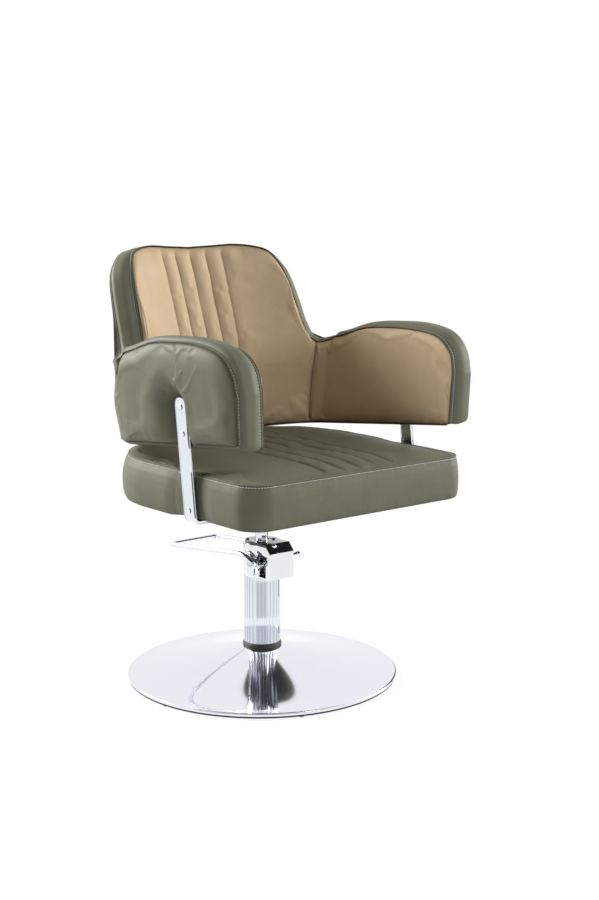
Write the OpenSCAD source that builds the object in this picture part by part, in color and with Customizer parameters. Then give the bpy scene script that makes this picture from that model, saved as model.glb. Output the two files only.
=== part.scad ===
// Hairdressing chair: a tub seat on two flat side bars, a foot-pumped column and a domed disc base.
// Millimetres. The origin is on the floor under the column's axis, the sitter faces -Y, +Z is up.

/* [Base] */
// Diameter of the round base
base_d = 600; // [560:5:640]
// Height of the neck of the dome, where the column enters it
neck_z = 66; // [60:1:76]
// Thickness of the pressed dome sheet
dome_wall = 3; // [2:0.25:4]
// Height of the dome's rim above the rubber ring
rim_h = 7; // [5:0.5:10]
// How steeply the dome flares towards its neck
dome_flare = 1.35; // [1.2:0.05:1.6]
// Height of the rubber ring under the rim
ring_h = 4; // [3:0.5:6]
// Width of the rubber ring
ring_w = 13; // [10:1:18]
// Number of glides pressed under the ring
glide_count = 6; // [4:1:8]
// Diameter of one glide
glide_d = 12; // [8:1:14]
// Height of one glide
glide_h = 2; // [1.5:0.5:4]
// Thickness of the steel ballast plate inside the dome
ballast_t = 6; // [4:0.5:8]
// Radial room between the ballast plate and the rubber ring
ballast_room = 4; // [1:0.5:10]

/* [Column] */
// Diameter of the fluted cover over its ribs
cover_d = 82; // [80:0.5:86]
// Wall of the fluted cover
cover_wall = 4; // [3.5:0.25:5]
// Number of flutes around the cover
flute_count = 32; // [24:1:36]
// Radius of one flute
flute_r = 2.6; // [2:0.1:3]
// Diameter of the reservoir tube inside the cover
tube_d = 70; // [64:0.5:72]
// Wall of the reservoir tube
tube_wall = 3; // [2:0.25:5]
// Diameter of the pressure cylinder
cylinder_d = 42; // [40:0.5:46]
// Wall of the pressure cylinder
cylinder_wall = 3; // [2:0.25:4]
// Diameter of the welded foot flange
flange_d = 124; // [112:2:150]
// Thickness of the foot flange
flange_t = 8; // [6:0.5:12]
// Height of the rubber collar on the neck
collar_h = 11; // [8:0.5:14]
// Height of the exposed column, from the collar to the pump head
column_h = 154.6; // [148:0.2:170]
// Diameter of the flange bolts
flange_bolt_d = 10; // [8:0.5:12]

/* [Pump head] */
// Diameter of the round part of the head
head_d = 82; // [80:0.5:90]
// Height of the head casting
head_h = 70.4; // [69:0.2:76]
// Width of the valve box at the front
box_w = 66; // [64:0.5:70]
// Distance of the box's front face from the axis
box_front = 70.6; // [69:0.2:76]
// Height of the sloped corner above the box's front face, up to the lid's top
slope_h = 18; // [15:0.5:20]
// Thickness of the lid
lid_t = 5; // [3:0.5:7]
// Thickness of the sloped valve plate
valve_plate_t = 2; // [1.5:0.25:3]
// Diameter of the lid's round part
lid_d = 75; // [70:1:80]
// Diameter of the domed filler plug
plug_d = 11; // [8:0.5:13]
// Diameter of the release valve's knob
knob_d = 13; // [10:0.5:14]
// How far the knob stands out of the box
knob_l = 22; // [14:1:26]
// Diameter of the lid screws
lid_screw_d = 4; // [3:0.5:5]
// Wall of the bronze guide bush
bush_wall = 3; // [2:0.25:5]

/* [Ram and lift] */
// Diameter of the ram
ram_d = 28; // [24:0.5:30]
// Travel down from the height that is shown
lift_down = 45; // [20:1:46]
// Travel up from the height that is shown
lift_up = 105; // [60:1:112]
// Height of the piston foot
piston_h = 20; // [16:1:24]
// Depth of the ram's socket in the piston foot
socket_depth = 10; // [6:0.5:12]

/* [Pedal] */
// Distance of the pivot in front of the axis
pivot_fwd = 21; // [20:0.5:22]
// Height of the pivot above the underside of the head
pivot_up = 32.4; // [31:0.2:34]
// Distance of the roller in front of the pivot
roller_fwd = 23; // [22:0.5:24]
// Drop of the roller's axis below the pivot
roller_drop = 2; // [1:0.5:4]
// Diameter of the roller
roller_d = 11; // [9:0.5:12]
// Diameter of the roller's pin
roller_pin_d = 6; // [5:0.5:6.5]
// Reach of the pedal's cross-bar behind the axis
pedal_reach = 263; // [220:1:280]
// Height of the cross-bar above the floor
pedal_z = 258; // [240:1:270]
// Length of the cross-bar between its rods' axes
pedal_w = 137; // [120:1:150]
// Height of the rods above the floor at their root
pedal_root_z = 282; // [279:0.5:285]
// Diameter of the pedal's rod
rod_d = 11; // [9:0.5:12]
// Thickness of the pivot cheeks
cheek_t = 6; // [4:0.5:8]
// Distance between the cheeks' inner faces
cheek_gap = 88; // [88:0.5:92]
// Travel of the pedal in degrees
pedal_deg = 22; // [12:1:22]
// Diameter of the pivot screws' shoulder
pivot_d = 10; // [8:0.5:11]
// Diameter of the pump plunger
plunger_d = 12; // [10:0.5:13]
// Wire diameter of the plunger's spring
spring_wire = 1.2; // [0.8:0.1:1.4]
// Turns of the plunger's spring
spring_turns = 5; // [4:1:6]

/* [Seat] */
// Width of the seat at its top seam
seat_w = 572; // [560:1:576]
// Distance of the seat's front from the axis
seat_front = 333; // [320:1:340]
// Distance of the seat's rear from the axis
seat_rear = 228; // [220:1:236]
// Height of the seat's underside
seat_z = 419.6; // [412:0.2:424]
// Height of the seat's side, from the underside to the top seam
seat_h = 86; // [78:1:90]
// Crown of the seat above its top seam
seat_crown = 22; // [12:1:24]
// Radius of the seat's front corners
front_corner = 40; // [30:1:50]
// Radius of the seat's rear corners
rear_corner = 200; // [180:2:220]
// Swell of the seat's rear sides beyond the seam
seat_swell = 16; // [8:1:20]
// Spacing of the sewn channels
flute_pitch = 45; // [38:1:50]
// Depth of the sewn channels
flute_depth = 4; // [2:0.5:6]
// Thickness of the plywood seat board
board_t = 12; // [9:0.5:18]
// Inset of the seat board from the seam line
board_inset = 16; // [12:1:22]
// Side of the square seat plate
plate_side = 230; // [200:5:260]
// Thickness of the seat plate
plate_t = 5; // [4:0.5:8]
// Diameter of the hub that holds the ram
hub_d = 48; // [42:1:56]
// Length of the hub below the seat plate
hub_l = 48; // [30:1:52]
// Diameter of the seat bolts
seat_bolt_d = 8; // [6:0.5:10]

/* [Side bars] */
// Width of the side bars
bar_w = 35; // [28:1:38]
// Thickness of the side bars
bar_t = 7; // [5:0.5:8]
// Distance between the inner faces of the two side bars
bar_gap = 594; // [592:1:600]
// Distance of a bar's foot in front of the axis
bar_fwd = 157; // [150:1:164]
// Backward lean of the bars in degrees
bar_lean = 6.9; // [5:0.1:8]
// Height of the bars' rounded top end
bar_top = 662; // [650:1:670]
// Length of a bar's foot under the seat
foot_l = 120; // [80:1:130]
// Diameter of the screws through the bars
bar_screw_d = 6; // [4:0.5:8]

/* [Shell] */
// Half width between the arms at the reference height
arm_half = 249; // [246:0.5:250]
// Outward flare of the arms per millimetre of height
arm_flare = 0.05; // [0.02:0.01:0.06]
// Distance of the arms' front ends from the axis
arm_front = 330; // [320:1:340]
// Height of the shell's lower edge at the front
hem_front = 578; // [570:1:586]
// Fall of the lower edge towards the rear in degrees
hem_tilt = 5.76; // [5:0.05:6]
// Distance of the back's inner face from the axis at lumbar height
back_depth = 184; // [180:1:192]
// Height of the lumbar line
lumbar_z = 650; // [640:1:660]
// Height above which the back is straight
straight_z = 744; // [736:1:752]
// Lean of the straight part of the back in degrees
back_lean = 19.2; // [16:0.1:21]
// How far the back's foot lies behind the lumbar line
back_tuck = 2; // [0:1:6]
// Hollow of the upper back, as a radius
back_r = 335; // [330:1:345]
// Hollow of the back's foot, as a radius
back_r_low = 560; // [520:5:620]
// Inner radius between the back and the arms, above
shell_corner = 60; // [56:1:64]
// Inner radius between the back and the arms at the back's foot
shell_corner_low = 88; // [80:1:92]
// Thickness of the arms
arm_t = 60; // [58:0.5:62]
// Thickness of the back
back_t = 58; // [54:1:64]
// How much thinner the shell is where it turns into the arms
corner_thin = 8; // [4:1:10]
// How much thinner the shell is at its lower edge behind
hem_thin = 14; // [8:1:16]
// Thickness of the inner pads
pad_t = 22; // [20:0.5:23]
// Thickness of the moulded plywood core
core_t = 10; // [8:0.5:10.5]
// Puff of the inner pads
pad_puff = 7; // [3:0.5:9]
// Swell of the outer arm pads
outer_puff = 11; // [5:0.5:12]
// Room between the outer arm pads and the cover under them and the bars over them
pad_room = 0.9; // [0.8:0.1:2]
// Spacing of the sewn channels in the back, in steps of the outline
channel_pitch = 0.7; // [0.6:0.01:0.75]
// Depth of the sewn channels in the back
channel_depth = 4.5; // [2:0.5:6]

/* [Hidden] */
$fn = 72;

// Clearances: a running fit, a plain fit and the room round a soft piece
run = 0.05;
fit = 0.1;
gap = 0.3;
// Room between the layers of the shell
layer_gap = 1.1;
// How deep the outer arm pads are let into the cover
let_in = 18;
// Width of the base's rolled rim
rim_roll = 6;
// Half width of a sewn channel's slopes
channel_slope = 5;
// Distance of the flange bolts from the flange's edge
bolt_inset = 12;
// How far a cutter reaches past the face that it opens
over = 1;

// Levels up the column
ring_z = glide_h + ring_h;
rim_top = ring_z + rim_h;
base_r = base_d / 2;
neck_r = tube_d / 2 + 9;
plate_z = glide_h + 1.5;
flange_z = plate_z + ballast_t;
tube_foot_z = flange_z + flange_t;
cover_z = neck_z + collar_h;
head_z = cover_z + column_h;
head_top = head_z + head_h;
lid_top = head_top + lid_t;
ram_r = ram_d / 2;
bush_r = ram_r + run + bush_wall;
board_z = seat_z;
plate_top = seat_z;
hub_bottom = plate_top - plate_t - hub_l;
ram_top = plate_top - plate_t;
cylinder_r = cylinder_d / 2 - cylinder_wall;
ram_bottom = tube_foot_z + lift_down + 4 + piston_h - socket_depth;
seal_h = 5;

// The pedal's linkage
pivot_y = -pivot_fwd;
pivot_z = head_z + pivot_up;
roller_y = pivot_y - roller_fwd;
roller_z = pivot_z - roller_drop;
roller_rise = roller_fwd * sin(pedal_deg) + roller_drop * (1 - cos(pedal_deg));
plunger_z = roller_z + roller_d / 2 + gap;
plunger_l = 13;
window_roof = plunger_z + roller_rise + 1.6;
barrel_top = head_top - 5;
cheek_x = cheek_gap / 2;

function ease(t) = let (c = max(0, min(1, t))) c * c * (3 - 2 * c);
function mix(a, b, t) = a + (b - a) * t;

// Point at parameter p of a smooth curve through the listed points
function curve(pts, p) =
    let (n = len(pts), i = max(0, min(n - 2, floor(p))), t = p - i,
        b = pts[i], c = pts[i + 1],
        a = i > 0 ? pts[i - 1] : 2 * b - c,
        d = i < n - 2 ? pts[i + 2] : 2 * c - b)
    0.5 * (2 * b + (c - a) * t + (2 * a - 5 * b + 4 * c - d) * t * t
        + (3 * b - a - 3 * c + d) * t * t * t);

// The same for a closed curve
function loop_curve(pts, p) =
    let (n = len(pts), i = floor(p), t = p - i,
        a = pts[(i + n - 1) % n], b = pts[i % n], c = pts[(i + 1) % n], d = pts[(i + 2) % n])
    0.5 * (2 * b + (c - a) * t + (2 * a - 5 * b + 4 * c - d) * t * t
        + (3 * b - a - 3 * c + d) * t * t * t);

// Two triangles of a four-cornered face, split along a-c, or along b-d
function quad(a, b, c, d, other = false) = other ? [[d, c, b], [d, b, a]] : [[c, b, a], [d, c, a]];

// A closed slab between two grids of points: face_a lies outside, face_b inside. Its faces are
// split the other way in the columns before the middle one, so that a mirrored grid stays so.
module slab(face_a, face_b, middle = 0) {
    n = len(face_a);
    m = len(face_a[0]);
    k = n * m;
    points = concat([for (r = face_a) each r], [for (r = face_b) each r]);
    faces = concat(
        [for (i = [0:n - 2], j = [0:m - 2]) each
            quad(i * m + j, (i + 1) * m + j, (i + 1) * m + j + 1, i * m + j + 1, j < middle)],
        [for (i = [0:n - 2], j = [0:m - 2]) each
            quad(k + i * m + j, k + i * m + j + 1, k + (i + 1) * m + j + 1, k + (i + 1) * m + j,
                j < middle)],
        [for (i = [0:n - 2]) each quad(i * m, k + i * m, k + (i + 1) * m, (i + 1) * m)],
        [for (i = [0:n - 2]) let (e = m - 1) each
            quad((i + 1) * m + e, k + (i + 1) * m + e, k + i * m + e, i * m + e)],
        [for (j = [0:m - 2]) each quad(j + 1, k + j + 1, k + j, j)],
        [for (j = [0:m - 2]) let (e = (n - 1) * m) each
            quad(e + j, k + e + j, k + e + j + 1, e + j + 1)]);
    polyhedron(points, faces);
}

// A closed solid from rings of points, from the middle of its face to the middle of its back
module ring_solid(rings, front, rear) {
    n = len(rings[0]);
    k = len(rings);
    points = concat([for (r = rings) each r], [front, rear]);
    faces = concat(
        [for (j = [0:n - 1]) [(j + 1) % n, j, k * n]],
        [for (i = [0:k - 2], j = [0:n - 1]) let (e = (j + 1) % n) each
            quad(i * n + j, (i + 1) * n + j, (i + 1) * n + e, i * n + e)],
        [for (j = [0:n - 1]) let (e = (j + 1) % n) [(k - 1) * n + j, (k - 1) * n + e, k * n + 1]]);
    polyhedron(points, faces);
}

// A straight round rod from one point to another
module rod(a, b, r) {
    v = b - a;
    translate(a)
        rotate([0, acos(v[2] / norm(v)), atan2(v[1], v[0])])
            cylinder(r = r, h = norm(v));
}

module ring(r_out, r_in, h) {
    rotate_extrude() translate([r_in, 0]) square([r_out - r_in, h]);
}

// Height of the dome's outer face at a radius: a flare that steepens towards the neck
function dome_z(r) = rim_top + (neck_z - rim_top)
    * pow(max(0, base_r - rim_roll - r) / (base_r - rim_roll - neck_r), dome_flare);

module base_disc() {
    radii = [for (i = [0:11]) mix(base_r - rim_roll, neck_r, i / 11)];
    lip = tube_d / 2 + 1;
    color("silver") rotate_extrude($fn = 144) polygon(concat(
        [[base_r - 2, ring_z], [base_r, ring_z + 2], [base_r, rim_top - 4], [base_r - 2, rim_top - 1]],
        [for (r = radii) [r, dome_z(r)]],
        [[lip, neck_z], [lip, neck_z - dome_wall]],
        [for (i = [11:-1:1]) [radii[i], dome_z(radii[i]) - dome_wall]],
        [[base_r - rim_roll, rim_top - dome_wall], [base_r - dome_wall - 1, ring_z]]));
}

module base_plate() {
    color("dimgray") translate([0, 0, plate_z])
        difference() {
            cylinder(r = base_r - ring_w - ballast_room, h = ballast_t, $fn = 144);
            flange_holes(flange_bolt_d / 2 + fit, ballast_t);
        }
}

module flange_holes(r, h) {
    for (a = [45:90:315]) rotate(a) translate([flange_d / 2 - bolt_inset, 0, -over])
        cylinder(r = r, h = h + 2 * over);
}

module base_ring() {
    color("#202020") translate([0, 0, glide_h])
        rotate_extrude($fn = 144) polygon([[base_r - ring_w, 0], [base_r - 2, 0], [base_r - 1, 1],
            [base_r - 1, ring_h], [base_r - ring_w, ring_h]]);
}

module base_glides() {
    color("#c8b060") for (i = [0:glide_count - 1]) rotate(-52 + i * 360 / glide_count)
        translate([base_r - ring_w / 2 - 1, 0, 0]) cylinder(r = glide_d / 2 - 1, h = glide_h);
}

// Four bolts up through the ballast plate into the column's foot flange
module flange_bolts() {
    color("gray") for (a = [45:90:315]) rotate(a) translate([flange_d / 2 - bolt_inset, 0, 0]) {
        translate([0, 0, plate_z]) cylinder(r = flange_bolt_d / 2, h = ballast_t + flange_t + 4);
        translate([0, 0, tube_foot_z]) cylinder(r = flange_bolt_d * 0.85, h = 7, $fn = 6);
    }
}

module reservoir_tube() {
    color("lightgray") {
        difference() {
            translate([0, 0, flange_z]) cylinder(r = flange_d / 2, h = flange_t);
            translate([0, 0, flange_z]) flange_holes(flange_bolt_d / 2 + fit, flange_t);
        }
        translate([0, 0, tube_foot_z - fit]) ring(tube_d / 2, tube_d / 2 - tube_wall,
            head_z - tube_foot_z + fit);
    }
}

module pressure_cylinder() {
    color("silver") translate([0, 0, tube_foot_z])
        ring(cylinder_d / 2, cylinder_r, head_z - tube_foot_z);
}

module foot_collar() {
    color("#151515") translate([0, 0, neck_z]) rotate_extrude()
        polygon([[tube_d / 2 + 0.5, 0], [cover_d / 2 + 1, 0], [cover_d / 2 + 2, 1.5],
            [cover_d / 2 + 2, collar_h - 2.5], [cover_d / 2 + 1, collar_h], [tube_d / 2 + 0.5, collar_h]]);
}

// Fluted sleeve round the reservoir tube
module column_cover() {
    color("whitesmoke") translate([0, 0, cover_z]) linear_extrude(height = column_h) difference() {
        circle(r = cover_d / 2);
        circle(r = cover_d / 2 - cover_wall);
        for (i = [0:flute_count - 1]) rotate(i * 360 / flute_count)
            translate([cover_d / 2 + flute_r * 0.35, 0]) circle(r = flute_r, $fn = 16);
    }
}

// Outline of the head seen from above: a round body with a square valve box in front
module head_outline(front) {
    circle(r = head_d / 2);
    translate([-box_w / 2, -front]) square([box_w, front]);
}

module pump_head() {
    color("silver") difference() {
        union() {
            translate([0, 0, head_z]) linear_extrude(height = head_h) head_outline(box_front);
            for (s = [-1, 1]) translate([0, pivot_y, pivot_z]) rotate([0, 90 * s, 0])
                cylinder(r = pivot_d * 0.85, h = cheek_x - gap);
        }
        // bore of the guide bush and room for the seal above it
        translate([0, 0, head_z - over]) cylinder(r = bush_r + run, h = head_h + 2 * over);
        slope_cut();
        // side window that the roller and its pin cross
        translate([-head_d, roller_y - roller_d / 2 - 6, head_z + 2.4])
            cube([head_d * 2, roller_d + 13, window_roof - head_z - 2.4]);
        // barrel of the plunger
        translate([0, roller_y, window_roof - over])
            cylinder(r = plunger_d / 2 + run, h = barrel_top - window_roof + over);
        // threaded seats of the pivot screws, the knob, the plug and the lid screws
        for (s = [-1, 1]) translate([0, pivot_y, pivot_z]) rotate([0, 90 * s, 0])
            translate([0, 0, cheek_x - 18]) cylinder(r = pivot_d * 0.4 + fit, h = 30);
        translate([box_w / 2 - 8, knob_y, knob_z]) rotate([0, 90, 0])
            cylinder(r = knob_d * 0.25 + fit, h = 8 + over);
        at_plug() translate([0, 0, -9]) cylinder(r = plug_d * 0.3 + fit, h = 9 + over);
        for (p = lid_screw_at) translate([p[0], p[1], head_top - 9])
            cylinder(r = lid_screw_d / 2 + fit, h = 9 + over);
    }
}

knob_y = -box_front + knob_d / 2 + 1;
knob_z = lid_top - slope_h - knob_d / 2 - 5;
slope_l = slope_h * sqrt(2);
plug_x = -12;
plug_up = slope_h * 0.78;
lid_screw_at = [[-22, 23], [22, 23], [-22, -14], [22, -14]];

// What lies in front of the sloped face, on head and lid alike
module slope_cut() {
    translate([0, -box_front, lid_top - slope_h]) rotate([45, 0, 0])
        translate([-box_w, -box_front, 0]) cube([box_w * 2, box_front * 2, box_front]);
}

// Frame on the sloped face under the filler plug, its Z square to the face
module at_plug() {
    translate([plug_x, plug_up - box_front, lid_top - slope_h + plug_up]) rotate([45, 0, 0])
        children();
}

module guide_bush() {
    color("#b08d57") translate([0, 0, head_z]) ring(bush_r, ram_r + run, head_h - seal_h);
}

module ram_seal() {
    color("#101010") translate([0, 0, head_top - seal_h]) ring(bush_r, ram_r + run, seal_h);
}

module head_lid() {
    color("#1c1c1c") difference() {
        translate([0, 0, head_top]) linear_extrude(height = lid_t) {
            circle(r = lid_d / 2);
            translate([-box_w / 2, -box_front]) square([box_w, box_front]);
        }
        slope_cut();
        translate([0, 0, head_top - over]) cylinder(r = ram_r + 1, h = lid_t + 2 * over);
        for (p = lid_screw_at) translate([p[0], p[1], head_top - over])
            cylinder(r = lid_screw_d / 2 + fit, h = lid_t + 2 * over);
        at_plug() translate([0, 0, -9]) cylinder(r = plug_d * 0.3 + fit, h = 9 + over);
    }
}

module lid_screws() {
    color("#303030") for (p = lid_screw_at) translate([p[0], p[1], 0]) {
        translate([0, 0, head_top - 8]) cylinder(r = lid_screw_d / 2, h = lid_t + 8);
        translate([0, 0, lid_top]) cylinder(r = lid_screw_d, h = 2.4);
    }
}

module valve_plate() {
    color("#181818") at_plug() difference() {
        translate([-plug_x - box_w / 2, -plug_up * sqrt(2), 0]) cube([box_w, slope_l, valve_plate_t]);
        translate([0, 0, -over]) cylinder(r = plug_d * 0.3 + fit, h = valve_plate_t + 2 * over);
    }
}

module filler_plug() {
    color("whitesmoke") at_plug() {
        translate([0, 0, -8]) cylinder(r = plug_d * 0.3, h = 8 + valve_plate_t);
        translate([0, 0, valve_plate_t]) intersection() {
            cylinder(r = plug_d / 2, h = plug_d);
            translate([0, 0, -plug_d * 0.25]) sphere(r = plug_d * 0.56);
        }
    }
}

module valve_knob() {
    color("silver") translate([box_w / 2, knob_y, knob_z]) rotate([0, 90, 0]) {
        translate([0, 0, -7]) cylinder(r = knob_d * 0.25, h = 7 + knob_l / 2);
        translate([0, 0, knob_l - 9]) cylinder(r = knob_d / 2, h = 9);
        cylinder(r = knob_d * 0.38, h = knob_l - 9);
    }
}

// Shoulder screws on which the pedal's cheeks turn
module pivot_screws() {
    color("#909090") for (s = [-1, 1]) translate([0, pivot_y, pivot_z]) rotate([0, 90 * s, 0]) {
        translate([0, 0, cheek_x - 17]) cylinder(r = pivot_d * 0.4, h = 17);
        translate([0, 0, cheek_x - gap]) cylinder(r = pivot_d / 2, h = cheek_t + 2 * gap);
        translate([0, 0, cheek_x + cheek_t + gap]) cylinder(r = pivot_d * 0.6, h = 3);
    }
}

module pump_plunger() {
    color("gainsboro") translate([0, roller_y, plunger_z]) {
        cylinder(r = plunger_d / 2, h = plunger_l);
        cylinder(r = plunger_d / 2 - spring_wire - 1, h = plunger_l + 3);
    }
}

// Coil spring between the plunger's shoulder and the end of its barrel
module plunger_spring() {
    sides = 6;
    steps = spring_turns * 12;
    r = plunger_d / 2 - spring_wire / 2 - 0.3;
    low = plunger_z + plunger_l + spring_wire / 2 + 0.1;
    high = barrel_top - spring_wire / 2 - 0.1;
    rings = [for (i = [0:steps]) let (a = i * 30, z = mix(low, high, i / steps))
        [for (k = [0:sides - 1]) let (b = -k * 360 / sides, d = r + spring_wire / 2 * cos(b))
            [d * cos(a), d * sin(a), z + spring_wire / 2 * sin(b)]]];
    color("#b0b0b0") translate([0, roller_y, 0])
        ring_solid(rings, [r, 0, low], [r * cos(steps * 30), r * sin(steps * 30), high]);
}

// Points round the corner b of a bent rod, between a and c, at a bend radius
function bend(a, b, c, r, n) =
    let (u = (a - b) / norm(a - b), v = (c - b) / norm(c - b), half = acos(u * v) / 2,
        mid = b + (u + v) / norm(u + v) * r / sin(half), turn = 180 - 2 * half,
        from = b + u * r / tan(half) - mid, to = b + v * r / tan(half) - mid)
    [for (i = [0:n]) mid + (from * sin(turn * (1 - i / n)) + to * sin(turn * i / n)) / sin(turn)];

// A ring of points square to a path, with one of its axes kept near the side vector
function path_ring(path, i, r, sides, side) =
    let (n = len(path), d = path[min(n - 1, i + 1)] - path[max(0, i - 1)], t = d / norm(d),
        e = cross(side, t) / norm(cross(side, t)), f = cross(t, e))
    [for (k = [0:sides - 1]) path[i] + r * (cos(k * 360 / sides) * e - sin(k * 360 / sides) * f)];

// Bent rod loop, welded along the outer faces of the cheeks
module pedal() {
    root_x = cheek_x + cheek_t + rod_d / 2 + fit;
    tip = [pedal_w / 2, pedal_reach, pedal_z];
    root = [root_x, pivot_y + 15, pedal_root_z + 1.5];
    end = [root_x, pivot_y - 18, pedal_root_z - 13.5];
    half = concat([end], bend(end, root, tip, 60, 4),
        bend(root, tip, [-tip[0], tip[1], tip[2]], 14, 6));
    path = concat(half, [for (i = [len(half) - 1:-1:0]) [-half[i][0], half[i][1], half[i][2]]]);
    tilt = atan((root[2] - tip[2]) / (tip[1] - root[1]));
    rings = [for (i = [0:len(path) - 1]) path_ring(path, i, rod_d / 2, 14, [0, sin(tilt), cos(tilt)])];
    color("whitesmoke") ring_solid(rings, path[0], path[len(path) - 1]);
}

// Cheeks: plates round the pivot with a nose for the roller's pin and a hanging skirt
module pedal_cheeks() {
    color("gainsboro") for (s = [0, 1]) mirror([s, 0, 0]) translate([cheek_x, 0, 0])
        rotate([90, 0, 90]) linear_extrude(height = cheek_t) difference() {
            translate([pivot_y, pivot_z]) union() {
                circle(r = 13);
                polygon([[-roller_fwd, -roller_drop - 7], [-roller_fwd, 7 - roller_drop], [-14, 10],
                    [0, 13], [22, 17], [26, 14], [24, 6], [14, -2], [12, -26], [9, -30], [-9, -30],
                    [-12, -26], [-13, -8]]);
                translate([-roller_fwd, -roller_drop]) circle(r = 7);
            }
            translate([pivot_y, pivot_z]) circle(r = pivot_d / 2 + run);
            translate([roller_y, roller_z]) circle(r = roller_pin_d / 2 + run);
        }
}

module roller_pin() {
    color("gray") translate([-cheek_x - cheek_t, roller_y, roller_z]) rotate([0, 90, 0])
        cylinder(r = roller_pin_d / 2, h = 2 * (cheek_x + cheek_t));
}

module pedal_roller() {
    color("silver") translate([gap - cheek_x, roller_y, roller_z]) rotate([0, 90, 0])
        ring(roller_d / 2, roller_pin_d / 2 + run, cheek_gap - 2 * gap);
}

module piston_foot() {
    color("#404040") translate([0, 0, ram_bottom - piston_h + socket_depth]) difference() {
        cylinder(r = cylinder_r - run, h = piston_h);
        translate([0, 0, piston_h - socket_depth]) cylinder(r = ram_r + run, h = socket_depth + over);
    }
}

module ram() {
    color("gainsboro") translate([0, 0, ram_bottom]) cylinder(r = ram_r, h = ram_top - ram_bottom);
}

// Pressed steel plate with a hub for the ram and four ribs
module seat_plate() {
    color("#252525") difference() {
        union() {
            translate([0, 0, plate_top - plate_t]) linear_extrude(height = plate_t) difference() {
                square(plate_side, center = true);
                for (a = [0:90:270]) rotate(a) translate([plate_side / 2, plate_side / 2])
                    rotate(45) square(30, center = true);
            }
            translate([0, 0, hub_bottom]) cylinder(r = hub_d / 2, h = hub_l + plate_t);
            for (a = [0:90:270]) rotate(a)
                translate([hub_d / 2 - 3, -3, plate_top - plate_t]) rotate([-90, 0, 0])
                    linear_extrude(height = 6) polygon([[0, -1], [plate_side * 0.3, -1],
                        [plate_side * 0.3, 4], [0, hub_l - 8]]);
        }
        translate([0, 0, hub_bottom - over]) cylinder(r = ram_r + run, h = ram_top - hub_bottom + over);
        for (p = seat_bolt_at) translate([p[0], p[1], plate_top - plate_t - over])
            cylinder(r = seat_bolt_d / 2 + fit, h = plate_t + 2 * over);
    }
}

seat_bolt_at = [for (x = [-1, 1], y = [-1, 1]) [x, y] * (plate_side / 2 - 30)];

module seat_bolts() {
    color("silver") for (p = seat_bolt_at) translate([p[0], p[1], 0]) {
        translate([0, 0, plate_top - plate_t]) cylinder(r = seat_bolt_d / 2, h = plate_t + board_t - 1);
        translate([0, 0, plate_top - plate_t - 5]) cylinder(r = seat_bolt_d * 0.85, h = 5, $fn = 6);
    }
}

// Outline of the seat at its seam: front and rear edge at a distance x from the middle
seat_half = seat_w / 2;
function seat_y_front(x) = -seat_front + front_corner
    - sqrt(max(0, pow(front_corner, 2) - pow(max(0, abs(x) - seat_half + front_corner), 2)));
function seat_y_rear(x) = seat_rear - rear_corner
    + sqrt(max(0, pow(rear_corner, 2) - pow(max(0, abs(x) - seat_half + rear_corner), 2)));

// Columns of the seat's grid: both sides and the bed of each channel, its crests and the rim
seat_steps = [for (u = [0.55, 0.68, 0.79, 0.88, 0.94, 0.98, 1])
    mix(2 * flute_pitch + 8, seat_half, (u - 0.5) * 2)];
seat_cols = let (h = [for (i = [0:2], d = [0, 7, flute_pitch / 2, flute_pitch - 7])
        i * flute_pitch + d],
    half = concat([for (v = h) if (v < 2 * flute_pitch + 10) v], seat_steps))
    concat([for (i = [len(half) - 1:-1:1]) -half[i]], half);
seat_rows = [0, 0.02, 0.06, 0.13, 0.26, 0.42, 0.58, 0.74, 0.86, 0.94, 0.98, 1];

// Puff of the sewn channels: zero on the seams, one on the crests
function channel(x, pitch, n) = abs(x) > (n + 0.5) * pitch ? 1
    : 1 - exp(-pow((x - pitch * round(x / pitch)) / channel_slope, 2));

function seat_top(x, t) =
    let (u = abs(x) / seat_half, v = abs(2 * t - 1), dome = (1 - pow(u, 3)) * (1 - pow(v, 4)))
    seat_z + seat_h + seat_crown * dome
        - flute_depth * (1 - channel(x, flute_pitch, 2)) * ease((1 - v) * 6);

seat_grid = [for (x = seat_cols) [for (t = seat_rows)
    [x, mix(seat_y_front(x), seat_y_rear(x), t), seat_top(x, t)]]];

// Seam loop of the seat, counter-clockwise from above, as places in the grid
seat_nx = len(seat_cols);
seat_ny = len(seat_rows);
seat_loop = concat([for (i = [0:seat_nx - 1]) [i, 0]], [for (j = [1:seat_ny - 1]) [seat_nx - 1, j]],
    [for (i = [seat_nx - 2:-1:0]) [i, seat_ny - 1]], [for (j = [seat_ny - 2:-1:1]) [0, j]]);
seat_edge = [for (p = seat_loop) let (q = seat_grid[p[0]][p[1]]) [q[0], q[1]]];

// The seam loop moved outwards by a distance that may grow behind the side bars
function seat_ring(z, out, swell) = let (n = len(seat_edge)) [for (i = [0:n - 1])
    let (d = seat_edge[(i + 1) % n] - seat_edge[(i + n - 1) % n], p = seat_edge[i],
        s = out + swell * ease((p[1] + bar_fwd - bar_w) / 60))
    [p[0] + s * d[1] / norm(d), p[1] - s * d[0] / norm(d), z]];

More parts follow.
